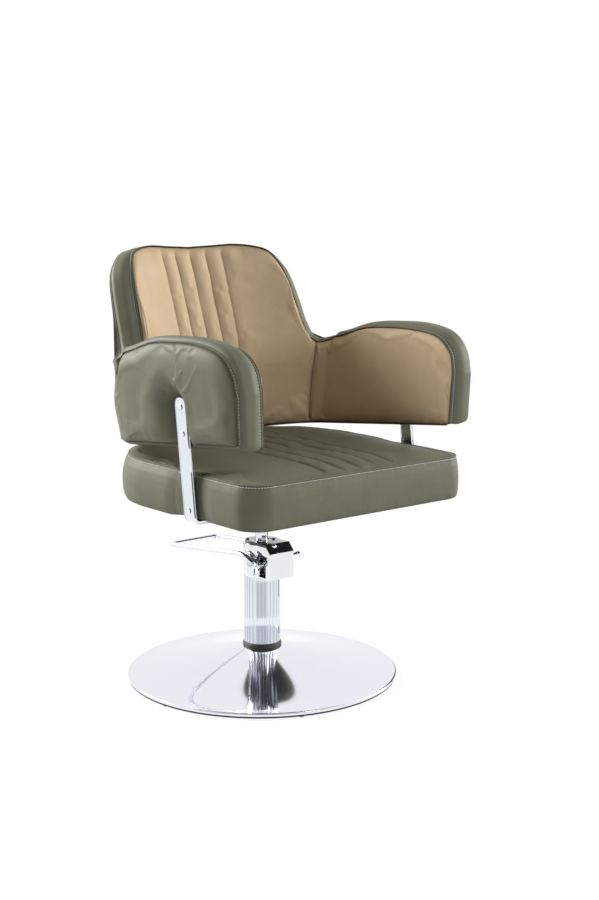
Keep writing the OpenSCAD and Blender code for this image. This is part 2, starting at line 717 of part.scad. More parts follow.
module seat_cushion() {
    edge = len(seat_loop);
    rings = [seat_ring(seat_z + seat_h * 0.8, 4, seat_swell * 0.6),
        seat_ring(seat_z + seat_h * 0.5, 5, seat_swell),
        seat_ring(seat_z + seat_h * 0.2, 4, seat_swell),
        seat_ring(seat_z + 3, 1, seat_swell * 0.7),
        seat_ring(seat_z, -3, seat_swell * 0.4),
        seat_ring(seat_z, gap - board_inset, 0),
        seat_ring(seat_z + board_t + gap, gap - board_inset, 0)];
    base = seat_nx * seat_ny;
    last = base + (len(rings) - 1) * edge;
    points = concat([for (r = seat_grid) each r], [for (r = rings) each r],
        [[0, 0, seat_z + board_t + gap]]);
    faces = concat(
        [for (i = [0:seat_nx - 2], j = [0:seat_ny - 2]) each quad(i * seat_ny + j,
            (i + 1) * seat_ny + j, (i + 1) * seat_ny + j + 1, i * seat_ny + j + 1)],
        [for (i = [0:edge - 1]) let (e = (i + 1) % edge, a = seat_loop[i], b = seat_loop[e]) each
            quad(a[0] * seat_ny + a[1], base + i, base + e, b[0] * seat_ny + b[1])],
        [for (k = [0:len(rings) - 2], i = [0:edge - 1]) let (e = (i + 1) % edge, r = base + k * edge)
            each quad(r + i, r + edge + i, r + edge + e, r + e)],
        [for (i = [0:edge - 1]) [last + i, last + (i + 1) % edge, last + edge]]);
    color("#6a6f5c") polyhedron(points, faces);
}

module seat_board() {
    color("#b58d5a") translate([0, 0, board_z]) difference() {
        linear_extrude(height = board_t)
            polygon([for (p = seat_ring(0, -board_inset, 0)) [p[0], p[1]]]);
        for (p = concat(seat_bolt_at, foot_bolt_at)) translate([p[0], p[1], -over])
            cylinder(r = seat_bolt_d / 2 + fit, h = board_t + 2 * over);
    }
}

// Side bars: the line of a bar's middle, and the places of its screws
bar_in = bar_gap / 2;
bar_bottom = seat_z - bar_t;
function bar_y(z) = -bar_fwd + (z - seat_z) * tan(bar_lean);
bar_screw_z = [seat_z + 19, bar_top - 72, bar_top - 19];
foot_bolt_at = [for (s = [-1, 1], d = [bar_t + 34, foot_l - 12]) [s * (bar_in - d), -bar_fwd]];

module side_bar_left() { color("whitesmoke") mirror([1, 0, 0]) side_bar(); }
module side_bar_right() { color("whitesmoke") side_bar(); }

// A flat bar beside the seat, bent in under it
module side_bar() {
    r = bar_w / 2;
    bend = bar_t + 8;
    dy = (bar_top - r - seat_z) * tan(bar_lean);
    difference() {
        union() {
            translate([bar_in, -bar_fwd, seat_z]) rotate([90, 0, 90]) linear_extrude(height = bar_t) {
                polygon([[-r, 8], [r, 8], [r + dy, bar_top - r - seat_z],
                    [dy - r, bar_top - r - seat_z]]);
                translate([dy, bar_top - r - seat_z]) circle(r = r);
            }
            translate([bar_in - foot_l, -bar_fwd - r, bar_bottom])
                cube([foot_l - 8, bar_w, bar_t]);
            translate([bar_in - 8, -bar_fwd + r, seat_z + 8]) rotate([90, 0, 0])
                intersection() {
                    ring(bend, 8, bar_w);
                    translate([0, -bend, 0]) cube([bend, bend, bar_w]);
                }
        }
        for (z = bar_screw_z) translate([bar_in - over, bar_y(z), z]) rotate([0, 90, 0])
            cylinder(r = bar_screw_d / 2 + fit, h = bar_t + 2 * over);
        for (p = foot_bolt_at) if (p[0] > 0) translate([p[0], p[1], bar_bottom - over])
            cylinder(r = seat_bolt_d / 2 + fit, h = bar_t + 2 * over);
    }
}

// Screws through the bars into the arms and into the side of the seat
module bar_screws() {
    color("silver") for (s = [-1, 1], z = bar_screw_z) translate([s * bar_in, bar_y(z), z])
        rotate([0, 90 * s, 0]) {
            cylinder(r = bar_screw_d / 2, h = bar_t);
            translate([0, 0, bar_t]) cylinder(r1 = bar_screw_d, r2 = bar_screw_d * 0.7, h = 2);
        }
}

module foot_bolts() {
    color("silver") for (p = foot_bolt_at) translate([p[0], p[1], 0]) {
        translate([0, 0, bar_bottom]) cylinder(r = seat_bolt_d / 2, h = bar_t + board_t - 1);
        translate([0, 0, bar_bottom - 5]) cylinder(r = seat_bolt_d * 0.85, h = 5, $fn = 6);
    }
}

// The shell's inner face in plan: an arc across the back, a corner and a straight arm.
// q runs 0..1 along the arc, 1..2 round the corner and 2..3 along the arm, negative on the left.
hem_foot = hem_front - (arm_front + back_depth) * tan(hem_tilt);
function arm_x(z) = arm_half + (z - 600) * arm_flare;
function hollow_r(z) = mix(back_r_low, back_r, ease((z - hem_foot) / (straight_z - hem_foot)));
function back_slope(z) = z > lumbar_z
    ? tan(back_lean) * min(1, (z - lumbar_z) / (straight_z - lumbar_z))
    : -2 * back_tuck * (lumbar_z - z) / pow(lumbar_z - hem_foot, 2);
function back_y(z) = z > straight_z
    ? back_depth + tan(back_lean) * (z - (straight_z + lumbar_z) / 2)
    : z > lumbar_z
    ? back_depth + tan(back_lean) * pow(z - lumbar_z, 2) / (straight_z - lumbar_z) / 2
    : back_depth + back_tuck * pow((lumbar_z - z) / (lumbar_z - hem_foot), 2);

function corner_r(z) = mix(shell_corner_low, shell_corner, ease((z - hem_foot) / (straight_z - hem_foot)));
function turn_at(z) = asin((arm_x(z) - corner_r(z)) / (hollow_r(z) - corner_r(z)));
function root_y(z) = back_y(z) - hollow_r(z) + (hollow_r(z) - corner_r(z)) * cos(turn_at(z));

function shell_at(q, z, w) =
    let (a = abs(q), r = hollow_r(z), c = corner_r(z), turn = turn_at(z), fy = root_y(z),
        ang = a < 1 ? a * turn : a < 2 ? mix(turn, 90, a - 1) : 90,
        k = back_slope(z) * cos(ang), n = [sin(ang), cos(ang), -k] / sqrt(1 + k * k),
        p = a < 1 ? [r * sin(ang), back_y(z) - r + r * cos(ang)]
            : a < 2 ? [arm_x(z) - c + c * sin(ang), fy + c * cos(ang)]
            : [arm_x(z), mix(fy, -arm_front, a - 2)],
        x = p[0] + w * n[0])
    [q < 0 ? -x : x, p[1] + w * n[1], z + w * n[2]];

// q of the place that lies at half width x on the inner face, or at depth y in layer w
function q_of_x(x, z) = let (t = turn_at(z), c = corner_r(z)) x < hollow_r(z) * sin(t)
    ? asin(x / hollow_r(z)) / t
    : 1 + (asin(min(1, (x - arm_x(z) + c) / c)) - t) / (90 - t);
function q_of_y(y, z, w) = let (t = turn_at(z), f = root_y(z)) y > f
    ? 1 + (acos(min(1, (y - f) / (corner_r(z) + w))) - t) / (90 - t)
    : 2 + (f - y) / (f + arm_front);

// Upper seam from the middle of the back to the front of an arm. Each row has a place, a height
// over the lumbar line and q at the lower edge; the place is a half width on the back and a
// depth on the arm.
seam_back = [[0, 290, 0], [60, 293, 0.22], [115, 296, 0.44], [160, 291, 0.6], [187, 279, 0.74],
    [203, 247, 0.86], [211, 210, 0.96], [216, 162, 1.08], [220, 118, 1.26], [231, 81, 1.48],
    [242, 73, 1.58]];
seam_arm_in = [[69, 80, 1.68], [49, 88, 1.9], [-46, 113, 2.14], [-124, 120, 2.36],
    [-208, 120, 2.62], [-278, 110, 2.82], [-317, 81, 2.93], [-329, 42, 2.99]];
seam_arm_out = [[72, 78, 1.68], [46, 89, 1.9], [-46, 114, 2.14], [-124, 121, 2.36],
    [-208, 122, 2.6], [-278, 108, 2.79], [-312, 74, 2.91], [-325, 30, 2.985]];
function seam(arm, w) = concat(
    [for (s = seam_back) [q_of_x(s[0], lumbar_z + s[1]), s[1], s[2]]],
    [for (s = arm) [q_of_y(s[0], lumbar_z + s[1], w), s[1], s[2]]]);
seam_in = seam(seam_arm_in, 0);
seam_out = seam(seam_arm_out, arm_t);
seam_end = len(seam_in) - 1;
pad_end = 9.3;

function hem_z(q, w) = hem_front - (shell_at(q, hem_front, 0)[1] + arm_front) * tan(hem_tilt) + 0.2 * w;

// Point of the shell at outline step p, share t from the lower to the upper edge, depth w
function shell_qz(p, t, w) =
    let (c = mix(curve(seam_in, abs(p)), curve(seam_out, abs(p)), w / arm_t))
    [mix(c[2], c[0], t), mix(hem_z(c[2], w), lumbar_z + c[1], t)];
function shell_pt(p, t, w) = let (s = shell_qz(p, t, w)) shell_at(p < 0 ? -s[0] : s[0], s[1], w);

// Inner pads: they swell between their seams, and the back pad is sewn in channels
function puff(p, t, lo, hi) = let (u = abs(2 * (p - lo) / (hi - lo) - 1), v = abs(2 * t - 1))
    pad_puff * (1 - pow(u, 6)) * (1 - pow(v, 6)) - 2;

// Columns and rows that all layers share, so that their facets lie alike
shell_half = concat([for (i = [0:5]) i * channel_pitch / 2],
    [2.6, 3.4, 4.2, 5, 5.8, 6.6, 7.4, 8.2, 8.9, pad_end]);
arm_cols = [pad_end + 0.02, 10, 10.6, 11.2, 12, 12.7, 13.5, 14.5, 15.5, 16.5, 17.2, 17.7, seam_end];
shell_rows = [0.07, 0.2, 0.36, 0.52, 0.68, 0.84, 0.95];
function both(half) = concat([for (i = [len(half) - 1:-1:1]) -half[i]], half);

back_half = concat([for (i = [0:2], d = [0, 0.13, channel_pitch / 2, channel_pitch - 0.13])
    if (i * channel_pitch + d < 2.6 * channel_pitch) i * channel_pitch + d],
    [for (p = shell_half) if (p > 2.6 * channel_pitch) p]);
back_cols = both(back_half);
back_rows = concat([0, 0.02], shell_rows, [0.985, 1]);

module back_pad() {
    color("#b09673") slab(
        [for (t = back_rows) [for (p = back_cols) shell_pt(p, t, pad_t)]],
        [for (t = back_rows) [for (p = back_cols) shell_pt(p, t, -puff(p, t, -pad_end, pad_end)
            + channel_depth * (1 - channel(p * 10, channel_pitch * 10, 2)))]],
        len(back_half) - 1);
}

module arm_pad_left() { color("#a88c66") mirror([1, 0, 0]) arm_pad(); }
module arm_pad_right() { color("#a88c66") arm_pad(); }

module arm_pad() {
    rows = concat([0], shell_rows, [1]);
    slab([for (t = rows) [for (p = arm_cols) shell_pt(p, t, pad_t)]],
        [for (t = rows) [for (p = arm_cols) shell_pt(p, t, -puff(p, t, pad_end, seam_end))]]);
}

core_in = pad_t + layer_gap;
core_out = core_in + core_t;
cover_in = core_out + layer_gap;
arm_cover_out = arm_t - let_in;
core_end = seam_end - 0.7;
// Below these heights the back thins at its corners and towards its lower edge, over these spans
thin_z = straight_z + 60;
thin_span = 80;
hem_thin_z = lumbar_z - 30;
hem_span = 90;

module shell_core() {
    cols = both(concat(shell_half, [for (p = arm_cols) if (p > pad_end + 0.1 && p < core_end) p]));
    color("#c8a878") slab([for (t = shell_rows) [for (p = cols) shell_pt(p, t, core_out)]],
        [for (t = shell_rows) [for (p = cols) shell_pt(p, t, core_in)]], (len(cols) - 1) / 2);
}

// Outer depth of the upholstered cover: it thins round the corners and towards the lower edge,
// is let in under the outer arm pads and is rounded at its free edges
function cover_out(p, t) =
    let (s = shell_qz(p, t, arm_t), z = s[1],
        back = back_t - corner_thin * ease((s[0] - 0.6) / 0.7) * ease((thin_z - z) / thin_span)
            - hem_thin * ease((hem_thin_z - z) / hem_span),
        b = ease((shell_at(s[0], z, arm_t)[1] - arm_pad_rear - 2) / 24),
        e = min(t, 1 - t, (seam_end - abs(p)) / 6))
    mix(arm_cover_out, back, b) - mix(3, 8, b) * pow(max(0, 1 - e / 0.07), 2);

module shell_cover() {
    cols = both(concat(shell_half, [for (p = arm_cols) if (p > pad_end + 0.1) p]));
    rows = concat([0, 0.035], shell_rows, [0.98, 1]);
    function inside(p, t) = t > 0.05 && t < 0.96 && abs(p) < core_end ? cover_in : core_in;
    color("#5f6453") slab(
        [for (t = rows) [for (p = cols) shell_pt(p, t, cover_out(p, t))]],
        [for (t = rows) [for (p = cols) shell_pt(p, t, inside(p, t))]], (len(cols) - 1) / 2);
}

// Outline of an outer arm pad from the front's foot: [depth, height over the lumbar line]
arm_outline = [[-325, -60], [-327, -20], [-322, 20], [-311, 57], [-293, 89], [-268, 109], [-238, 118],
    [-199, 121], [-155, 120], [-92, 116], [-5, 106], [50, 88], [92, 62], [113, 27], [117, 1],
    [115, -25], [106, -54], [93, -80], [66, -96], [-43, -90], [-162, -79], [-296, -66]];
arm_pad_rear = max([for (o = arm_outline) o[0]]);

// The valley that a side bar presses into an arm pad, from 0 to 1
function valley(y, z) = ease((95 - abs(y - bar_y(z))) / 40) * ease((bar_top + 68 - z) / 50);

module arm_outer_left() { color("#6f7464") mirror([1, 0, 0]) arm_outer(); }
module arm_outer_right() { color("#6f7464") arm_outer(); }

module arm_outer() {
    n = 2 * len(arm_outline);
    outline = [for (o = arm_outline) [q_of_y(o[0], lumbar_z + o[1], arm_t), o[1]]];
    mid = [2.4, 10];
    inner_mid = [2, -10];
    loop = [for (i = [0:n - 1]) loop_curve(outline, (n - i) / 2 % len(outline))];
    function at(o, w) = shell_at(o[0], lumbar_z + o[1], w);
    function face(o, s) = let (z = lumbar_z + o[1], y = at(o, arm_t)[1],
        w = arm_t - 1 + outer_puff * (1 - pow(s, 6)))
        at(o, mix(w, bar_in - pad_room - arm_x(z), valley(y, z)));
    shares = [0.16, 0.33, 0.5, 0.67, 0.82, 0.94];
    rings = concat([for (s = shares) [for (o = loop) face(mix(mid, o, s), s)]],
        [[for (o = loop) face(o, 1)]],
        [for (s = [1, 0.68, 0.34]) [for (o = loop) at(mix(inner_mid, o, s), arm_cover_out + pad_room)]]);
    ring_solid(rings, face(mid, 0), at(inner_mid, arm_cover_out + pad_room));
}

base_disc();
base_plate();
base_ring();
base_glides();
flange_bolts();
foot_collar();
reservoir_tube();
pressure_cylinder();
column_cover();
pump_head();
guide_bush();
ram_seal();
head_lid();
lid_screws();
valve_plate();
filler_plug();
valve_knob();
pivot_screws();
pump_plunger();
plunger_spring();
pedal();
pedal_cheeks();
roller_pin();
pedal_roller();
piston_foot();
ram();
seat_plate();
seat_bolts();
seat_board();
seat_cushion();
side_bar_left();
side_bar_right();
bar_screws();
foot_bolts();
shell_core();
shell_cover();
back_pad();
arm_pad_left();
arm_pad_right();
arm_outer_left();
arm_outer_right();
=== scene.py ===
import bmesh
import bpy
import numpy as np
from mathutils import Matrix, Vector


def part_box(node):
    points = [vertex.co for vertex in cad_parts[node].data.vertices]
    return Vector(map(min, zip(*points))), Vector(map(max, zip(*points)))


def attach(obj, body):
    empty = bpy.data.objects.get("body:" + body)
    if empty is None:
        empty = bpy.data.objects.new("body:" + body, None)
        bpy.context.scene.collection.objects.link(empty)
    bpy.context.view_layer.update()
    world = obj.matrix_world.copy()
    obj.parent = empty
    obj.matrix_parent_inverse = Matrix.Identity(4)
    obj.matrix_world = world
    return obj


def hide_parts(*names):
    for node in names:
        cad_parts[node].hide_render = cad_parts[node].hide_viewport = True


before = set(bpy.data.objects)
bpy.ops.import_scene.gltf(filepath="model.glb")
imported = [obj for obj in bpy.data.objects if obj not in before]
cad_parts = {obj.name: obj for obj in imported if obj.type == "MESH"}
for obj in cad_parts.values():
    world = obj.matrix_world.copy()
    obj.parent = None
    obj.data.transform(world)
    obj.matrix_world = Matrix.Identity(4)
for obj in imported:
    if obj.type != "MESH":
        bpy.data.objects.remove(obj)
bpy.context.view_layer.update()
scene = bpy.context.scene
scene.view_settings.view_transform = "Standard"
print("frame loaded with", len(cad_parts), "parts")


class Values(dict):  # a dictionary whose entries also read as values.name
    __getattr__ = dict.__getitem__


# Lengths below are millimetres and are turned into metres when a mesh is made
metre = 0.001
pi = np.pi
view = Values(place=(-1.877, -2.414, 1.029), ahead=(0.6261, 0.7614, -0.1682), lens=56.7, sensor=36)


def makeCamera():
    data = bpy.data.cameras.new("studio_camera")
    data.lens, data.sensor_width = view.lens, view.sensor
    camera = bpy.data.objects.new("studio_camera", data)
    camera.location = view.place
    camera.rotation_euler = Vector(view.ahead).to_track_quat("-Z", "Y").to_euler()
    scene.collection.objects.link(camera)
    scene.camera = camera


makeCamera()


# Shader maths: sums and products of sockets add the nodes that they need
class Wire:
    def __init__(self, tree, socket):
        self.tree, self.socket = tree, socket

    def maths(self, kind, other):
        return self.tree.add("ShaderNodeMath", {"operation": kind}, {0: self, 1: other})

    def __add__(self, other):
        return self.maths("ADD", other)

    def __sub__(self, other):
        return self.maths("SUBTRACT", other)

    def __rsub__(self, other):
        return self.tree.add("ShaderNodeMath", {"operation": "SUBTRACT"}, {0: other, 1: self})

    def __mul__(self, other):
        return self.maths("MULTIPLY", other)

    def above(self, other):
        return self.maths("MAXIMUM", other)

    def kept(self):  # held between 0 and 1
        return self.tree.add("ShaderNodeClamp", {}, {"Value": self})

    __radd__ = __add__
    __rmul__ = __mul__


class Tree:  # the shader nodes of a material or of the world
    def __init__(self, holder):
        holder.use_nodes = True
        self.nodes, self.links = holder.node_tree.nodes, holder.node_tree.links

    def add(self, kind, settings, sockets, outlet=0):
        node = self.nodes.new(kind)
        for key, value in settings.items():
            setattr(node, key, value)
        for key, value in sockets.items():
            self.feed(node.inputs[key], value)
        return Wire(self, node.outputs[outlet])

    def feed(self, socket, value):
        if isinstance(value, Wire):
            self.links.new(value.socket, socket)
        else:
            socket.default_value = value

    def seen(self):  # 1 for rays from the camera, a mirror or a glass, otherwise 0
        camera, glossy, glass = [self.add("ShaderNodeLightPath", {}, {}, "Is " + kind + " Ray")
            for kind in ("Camera", "Glossy", "Transmission")]
        return camera.above(glossy).above(glass)


class Finish(Tree):  # one material; numbers that are the same all over sit on the shader's own sockets
    def __init__(self, name, fixed):
        self.material = bpy.data.materials.new(name)
        super().__init__(self.material)
        self.shader = self.nodes["Principled BSDF"]
        self.place = self.add("ShaderNodeTexCoord", {}, {}, "Object")
        for socket, value in fixed.items():
            self.shader.inputs[socket].default_value = value

    def noise(self, scale, detail=3.0, roughness=0.5, place=None):
        return self.add("ShaderNodeTexNoise", {}, {"Vector": place or self.place, "Scale": scale,
            "Detail": detail, "Roughness": roughness})

    def cells(self, scale):
        return self.add("ShaderNodeTexVoronoi", {}, {"Vector": self.place, "Scale": scale})

    def bands(self, direction, scale, distortion):
        return self.add("ShaderNodeTexWave", {"bands_direction": direction},
            {"Vector": self.place, "Scale": scale, "Distortion": distortion})

    def stretched(self, *scale):
        return self.add("ShaderNodeMapping", {}, {"Vector": self.place, "Scale": scale})

    def tint(self, share, first, second):  # colour between two colours
        colours = [value if isinstance(value, Wire) else (*value, 1.0) for value in (first, second)]
        return self.add("ShaderNodeMix", {"data_type": "RGBA"}, {0: share, 6: colours[0], 7: colours[1]}, 2)

    def relief(self, height, strength, distance, under=None):
        sockets = {"Height": height, "Strength": strength, "Distance": distance}
        if under:
            sockets["Normal"] = under
        return self.add("ShaderNodeBump", {}, sockets)

    def give(self, **outlets):
        sockets = dict(colour="Base Color", roughness="Roughness", normal="Normal")
        for key, value in outlets.items():
            self.feed(self.shader.inputs[sockets[key]], value)
        return self.material


leather = Values(grain=1150, pores=2900, cloud=14, patch=46, sheen=0.46, spread=0.12)


# Coated leatherette: small pressed cells, finer pores, soft clouds of colour; rougher in the seams, and
# darkened there and in grooves and hollows by painted shade from the seam attribute
def makeLeather(name, deep, main, pale, sheen):
    finish = Finish(name, {"Specular IOR Level": 0.12})
    cells = finish.cells(leather.grain)
    pores = finish.noise(leather.pores, 2.0)
    cloud = finish.noise(leather.cloud, 4.0)
    patch = finish.noise(leather.patch)
    seam = finish.add("ShaderNodeAttribute", {"attribute_name": "seam"}, {}, "Fac")
    tone = (cloud * 0.7 + patch * 0.5 + cells * 0.35 - 0.35).kept()
    # The seam attribute darkens the colour towards deep: painted shade
    colour = finish.tint((seam * 0.55 + pores * 0.16).kept(), finish.tint(tone, main, pale), deep)
    rough = sheen + leather.spread * (patch - 0.5) + 0.1 * cells + 0.16 * seam
    pressed = finish.relief(cells * 0.7 + pores * 0.5, 0.35, 0.00022)
    return finish.give(colour=colour, roughness=rough,
        normal=finish.relief(patch * 0.6 + cloud, 0.25, 0.0012, pressed))


metal = Values(smudge=22, grind=900, orange=160)


# Chrome plate over polished steel: faint smudges, and the slight waves of the polished sheet
def makeChrome(name, tone, roughness, wave=0.00003):
    finish = Finish(name, {"Metallic": 1.0})
    smudge = finish.noise(metal.smudge, 5.0, 0.6)
    colour = finish.tint((smudge * 0.5).kept(), tone, [v * 0.93 for v in tone])
    rough = roughness + 0.07 * (smudge - 0.45).above(0) + 0.02 * finish.noise(metal.grind, 2.0)
    return finish.give(colour=colour, roughness=rough,
        normal=finish.relief(finish.noise(metal.orange, 1.0), 0.2, wave))


# Turned or machined steel: fine rings of tool marks along one axis
def makeTurned(name, tone, roughness, pitch=1400):
    finish = Finish(name, {"Metallic": 1.0})
    marks = finish.noise(pitch, 2.0, 0.6, finish.stretched(0.04, 0.04, 1))
    smudge = finish.noise(metal.smudge * 2, 4.0)
    colour = finish.tint((smudge * 0.6).kept(), tone, [v * 0.8 for v in tone])
    return finish.give(colour=colour, roughness=roughness + 0.14 * marks,
        normal=finish.relief(marks, 0.3, 0.00004))


# Enamel or blackened parts: deep colour, dust in the hollows, a coat over it
def makeBlack(name, tone, roughness, coat):
    finish = Finish(name, {"Coat Weight": coat, "Coat Roughness": 0.06})
    dust = finish.noise(38, 5.0, 0.65)
    colour = finish.tint(((dust - 0.42) * 1.4).kept(), tone, [v * 1.9 + 0.01 for v in tone])
    return finish.give(colour=colour, roughness=roughness + 0.1 * (dust - 0.4),
        normal=finish.relief(finish.noise(420, 2.0), 0.2, 0.00005))


# Rubber and nylon: matt, with moulding grain and worn spots
def makeMoulded(name, tone, worn, roughness):
    finish = Finish(name, {"Specular IOR Level": 0.35})
    wear = finish.noise(55, 5.0, 0.6)
    colour = finish.tint(((wear - 0.45) * 2).kept(), tone, worn)
    return finish.give(colour=colour, roughness=roughness + 0.2 * (wear - 0.5),
        normal=finish.relief(finish.noise(2200, 2.0), 0.3, 0.0001))


# Plywood: stretched grain and darker veneer edges
def makePlywood(name):
    finish = Finish(name, {"Specular IOR Level": 0.3})
    grain = finish.noise(260, 4.0, 0.6, finish.stretched(1, 0.08, 1))
    layer = finish.bands("Z", 100, 0.4)
    colour = finish.tint((grain * 0.8 + layer * 0.3).kept(), (0.36, 0.23, 0.12), (0.66, 0.49, 0.3))
    return finish.give(colour=colour, roughness=0.6 + 0.2 * grain, normal=finish.relief(grain, 0.3, 0.0002))


# Twisted thread: slanted strands across each stitch
def makeThread(name):
    finish = Finish(name, {"Specular IOR Level": 0.3, "Sheen Weight": 0.3})
    strand = finish.bands("DIAGONAL", 700, 1.5)
    fuzz = finish.noise(1500)
    colour = finish.tint((strand * 0.6 + fuzz * 0.4).kept(), (0.44, 0.44, 0.39), (0.72, 0.72, 0.66))
    return finish.give(colour=colour, roughness=0.55 + 0.2 * fuzz, normal=finish.relief(strand, 0.4, 0.0002))


finishes = Values(
    olive_leather=makeLeather("olive_leather_grain", (0.02, 0.021, 0.012), (0.098, 0.1, 0.066),
        (0.138, 0.141, 0.102), leather.sheen),
    tan_leather=makeLeather("tan_leather_grain", (0.1, 0.062, 0.03), (0.42, 0.31, 0.19),
        (0.51, 0.39, 0.26), leather.sheen + 0.06),
    piping=makeLeather("piping_grain", (0.012, 0.012, 0.008), (0.06, 0.06, 0.042), (0.09, 0.09, 0.07), 0.42),
    # Black cloth under the seat, which also serves as painted shade for the seat's underside
    under_cloth=makeMoulded("black_under_cloth", (0.008, 0.008, 0.008), (0.02, 0.02, 0.02), 0.8),
    bright_chrome=makeChrome("chrome_plate", (0.82, 0.835, 0.9), 0.05),
    polished_cast=makeChrome("polished_casting", (0.84, 0.85, 0.87), 0.09, 0.00008),
    turned_steel=makeTurned("turned_steel_marks", (0.6, 0.6, 0.6), 0.24),
    zinc_screws=makeTurned("zinc_plate", (0.74, 0.75, 0.76), 0.2, 2400),
    dark_screws=makeTurned("blackened_steel", (0.1, 0.1, 0.11), 0.3, 2000),
    bearing_bronze=makeTurned("turned_bronze", (0.62, 0.45, 0.24), 0.26),
    black_steel=makeBlack("black_paint", (0.02, 0.02, 0.021), 0.42, 0.15),
    black_gloss=makeBlack("black_enamel", (0.012, 0.012, 0.013), 0.16, 0.8),
    dark_rubber=makeMoulded("rubber_grain", (0.014, 0.014, 0.014), (0.04, 0.04, 0.038), 0.55),
    pale_nylon=makeMoulded("nylon_grain", (0.5, 0.43, 0.27), (0.62, 0.56, 0.42), 0.45),
    birch_ply=makePlywood("birch_veneer"),
    thread=makeThread("sewing_thread"))
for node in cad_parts.values():
    for place in node.material_slots:
        place.material = finishes[place.material.name.split(".")[0]]
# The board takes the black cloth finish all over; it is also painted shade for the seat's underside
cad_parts["seat_board"].material_slots[0].material = finishes.under_cloth  # the board is covered below
print("finishes made")


# Two corners of a part's box in the frame, in millimetres
def nodeBox(node):
    return [np.array(corner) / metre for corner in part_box(node)]


# Mesh work: a piece is an array of points and lists of four- and three-cornered faces. A grid's face
# has its corners at (i, j), (i, j + 1), (i + 1, j + 1) and (i + 1, j); a closed side joins on again.
def gridFaces(rows, cols, closeRows=False, closeCols=False):
    i = np.arange(rows if closeRows else rows - 1)[:, None]
    j = np.arange(cols if closeCols else cols - 1)[None, :]
    corners = [(i, j), (i, j + 1), (i + 1, j + 1), (i + 1, j)]
    return np.stack([(a % rows) * cols + b % cols for a, b in corners], -1).reshape(-1, 4)


# Triangles from each step of a ring to one centre point
def fanFaces(ring, centre):
    return np.stack([ring, np.roll(ring, -1), np.full_like(ring, centre)], -1)


# Faces of a grid of closed rows whose first and last columns are closed by the two points after it
def cappedFaces(rows, cols):
    first = np.arange(rows) * cols
    return [gridFaces(rows, cols, True), fanFaces(first, rows * cols),
        fanFaces(first + cols - 1, rows * cols + 1)]


# The same for closed columns, with a point at the first and the last row
def tippedFaces(rows, cols):
    first = np.arange(cols)
    return [gridFaces(rows, cols, False, True), fanFaces(first, rows * cols),
        fanFaces(first + (rows - 1) * cols, rows * cols + 1)]


# Turns the faces so that all of them look out of the solid
def turnOutward(mesh):
    solid = bmesh.new()
    solid.from_mesh(mesh)
    bmesh.ops.recalc_face_normals(solid, faces=solid.faces)
    solid.to_mesh(mesh)
    solid.free()


# A piece shows its slot's finish unless another is given; behind is the finish of all its faces but
# those of its first list, and seam says how far each point is darkened by painted shade in seams and hollows
def makePiece(name, shape, body, slot, nodes=(), sharp=None, seam=None, finish=None, behind=None):
    points, faces = shape
    counts = [len(group) for group in faces]
    sizes = np.repeat([group.shape[1] for group in faces], counts)
    mesh = bpy.data.meshes.new(name)
    mesh.vertices.add(len(points))
    mesh.vertices.foreach_set("co", (np.asarray(points, float) * metre).astype(np.float32).ravel())
    mesh.loops.add(sizes.sum())
    corners = np.concatenate([group.ravel() for group in faces])
    mesh.loops.foreach_set("vertex_index", corners.astype(np.int32))
    mesh.polygons.add(len(sizes))
    mesh.polygons.foreach_set("loop_start", (np.cumsum(sizes) - sizes).astype(np.int32))
    mesh.materials.append(finish or finishes[slot])
    if behind:
        mesh.materials.append(behind)
        kinds = np.repeat(np.minimum(1, np.arange(len(faces))), counts)
        mesh.polygons.foreach_set("material_index", kinds.astype(np.int32))
    mesh.update(calc_edges=True)
    turnOutward(mesh)
    mesh.shade_smooth()
    if sharp:
        mesh.set_sharp_from_angle(angle=np.radians(sharp))
    if seam is not None:
        layer = mesh.attributes.new("seam", "FLOAT", "POINT")
        layer.data.foreach_set("value", seam.astype(np.float32))
    piece = bpy.data.objects.new(name, mesh)
    scene.collection.objects.link(piece)
    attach(piece, body)
    if nodes:
        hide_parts(*nodes)


# Vectors divided by their lengths
def unit(vectors):
    return vectors / np.linalg.norm(vectors, axis=-1, keepdims=True)


# Length along a line of points, from its start to each of them
def runOf(path):
    return np.concatenate([[0], np.cumsum(np.linalg.norm(np.diff(path, axis=0), axis=1))])


# An outline with its corners rounded: each corner becomes an arc-like curve between two points
def soften(corners, radius, steps=5, closed=True):
    corners = np.asarray(corners, float)
    s = np.linspace(0, 1, steps)[:, None]
    out = []
    for k, corner in enumerate(corners):
        if not closed and k in (0, len(corners) - 1):
            out.append(corner[None])
            continue
        back, ahead = corners[k - 1] - corner, corners[(k + 1) % len(corners)] - corner
        reach = min(radius, np.linalg.norm(back) * 0.49, np.linalg.norm(ahead) * 0.49)
        start, end = corner + unit(back) * reach, corner + unit(ahead) * reach
        out.append((1 - s) ** 2 * start + 2 * s * (1 - s) * corner + s ** 2 * end)
    return np.concatenate(out)


# A profile of [radius, height] turned round an axis that starts at foot. A closed profile gives a
# ring; an open one, from axis to axis, is closed by its two poles.
def lathe(profile, turns=96, foot=(0, 0, 0), axes=np.eye(3), closed=False):
    profile = np.asarray(profile, float)
    line = profile if closed else profile[1:-1]
    a = np.arange(turns)[:, None] / turns * 2 * pi
    points = np.stack([np.cos(a) * line[:, 0], np.sin(a) * line[:, 0], 0 * a + line[:, 1]], -1).reshape(-1, 3)
    if not closed:
        points = np.concatenate([points, [[0, 0, profile[0, 1]], [0, 0, profile[-1, 1]]]])
    faces = [gridFaces(turns, len(line), True, True)] if closed else cappedFaces(turns, len(line))
    return points @ axes + foot, faces


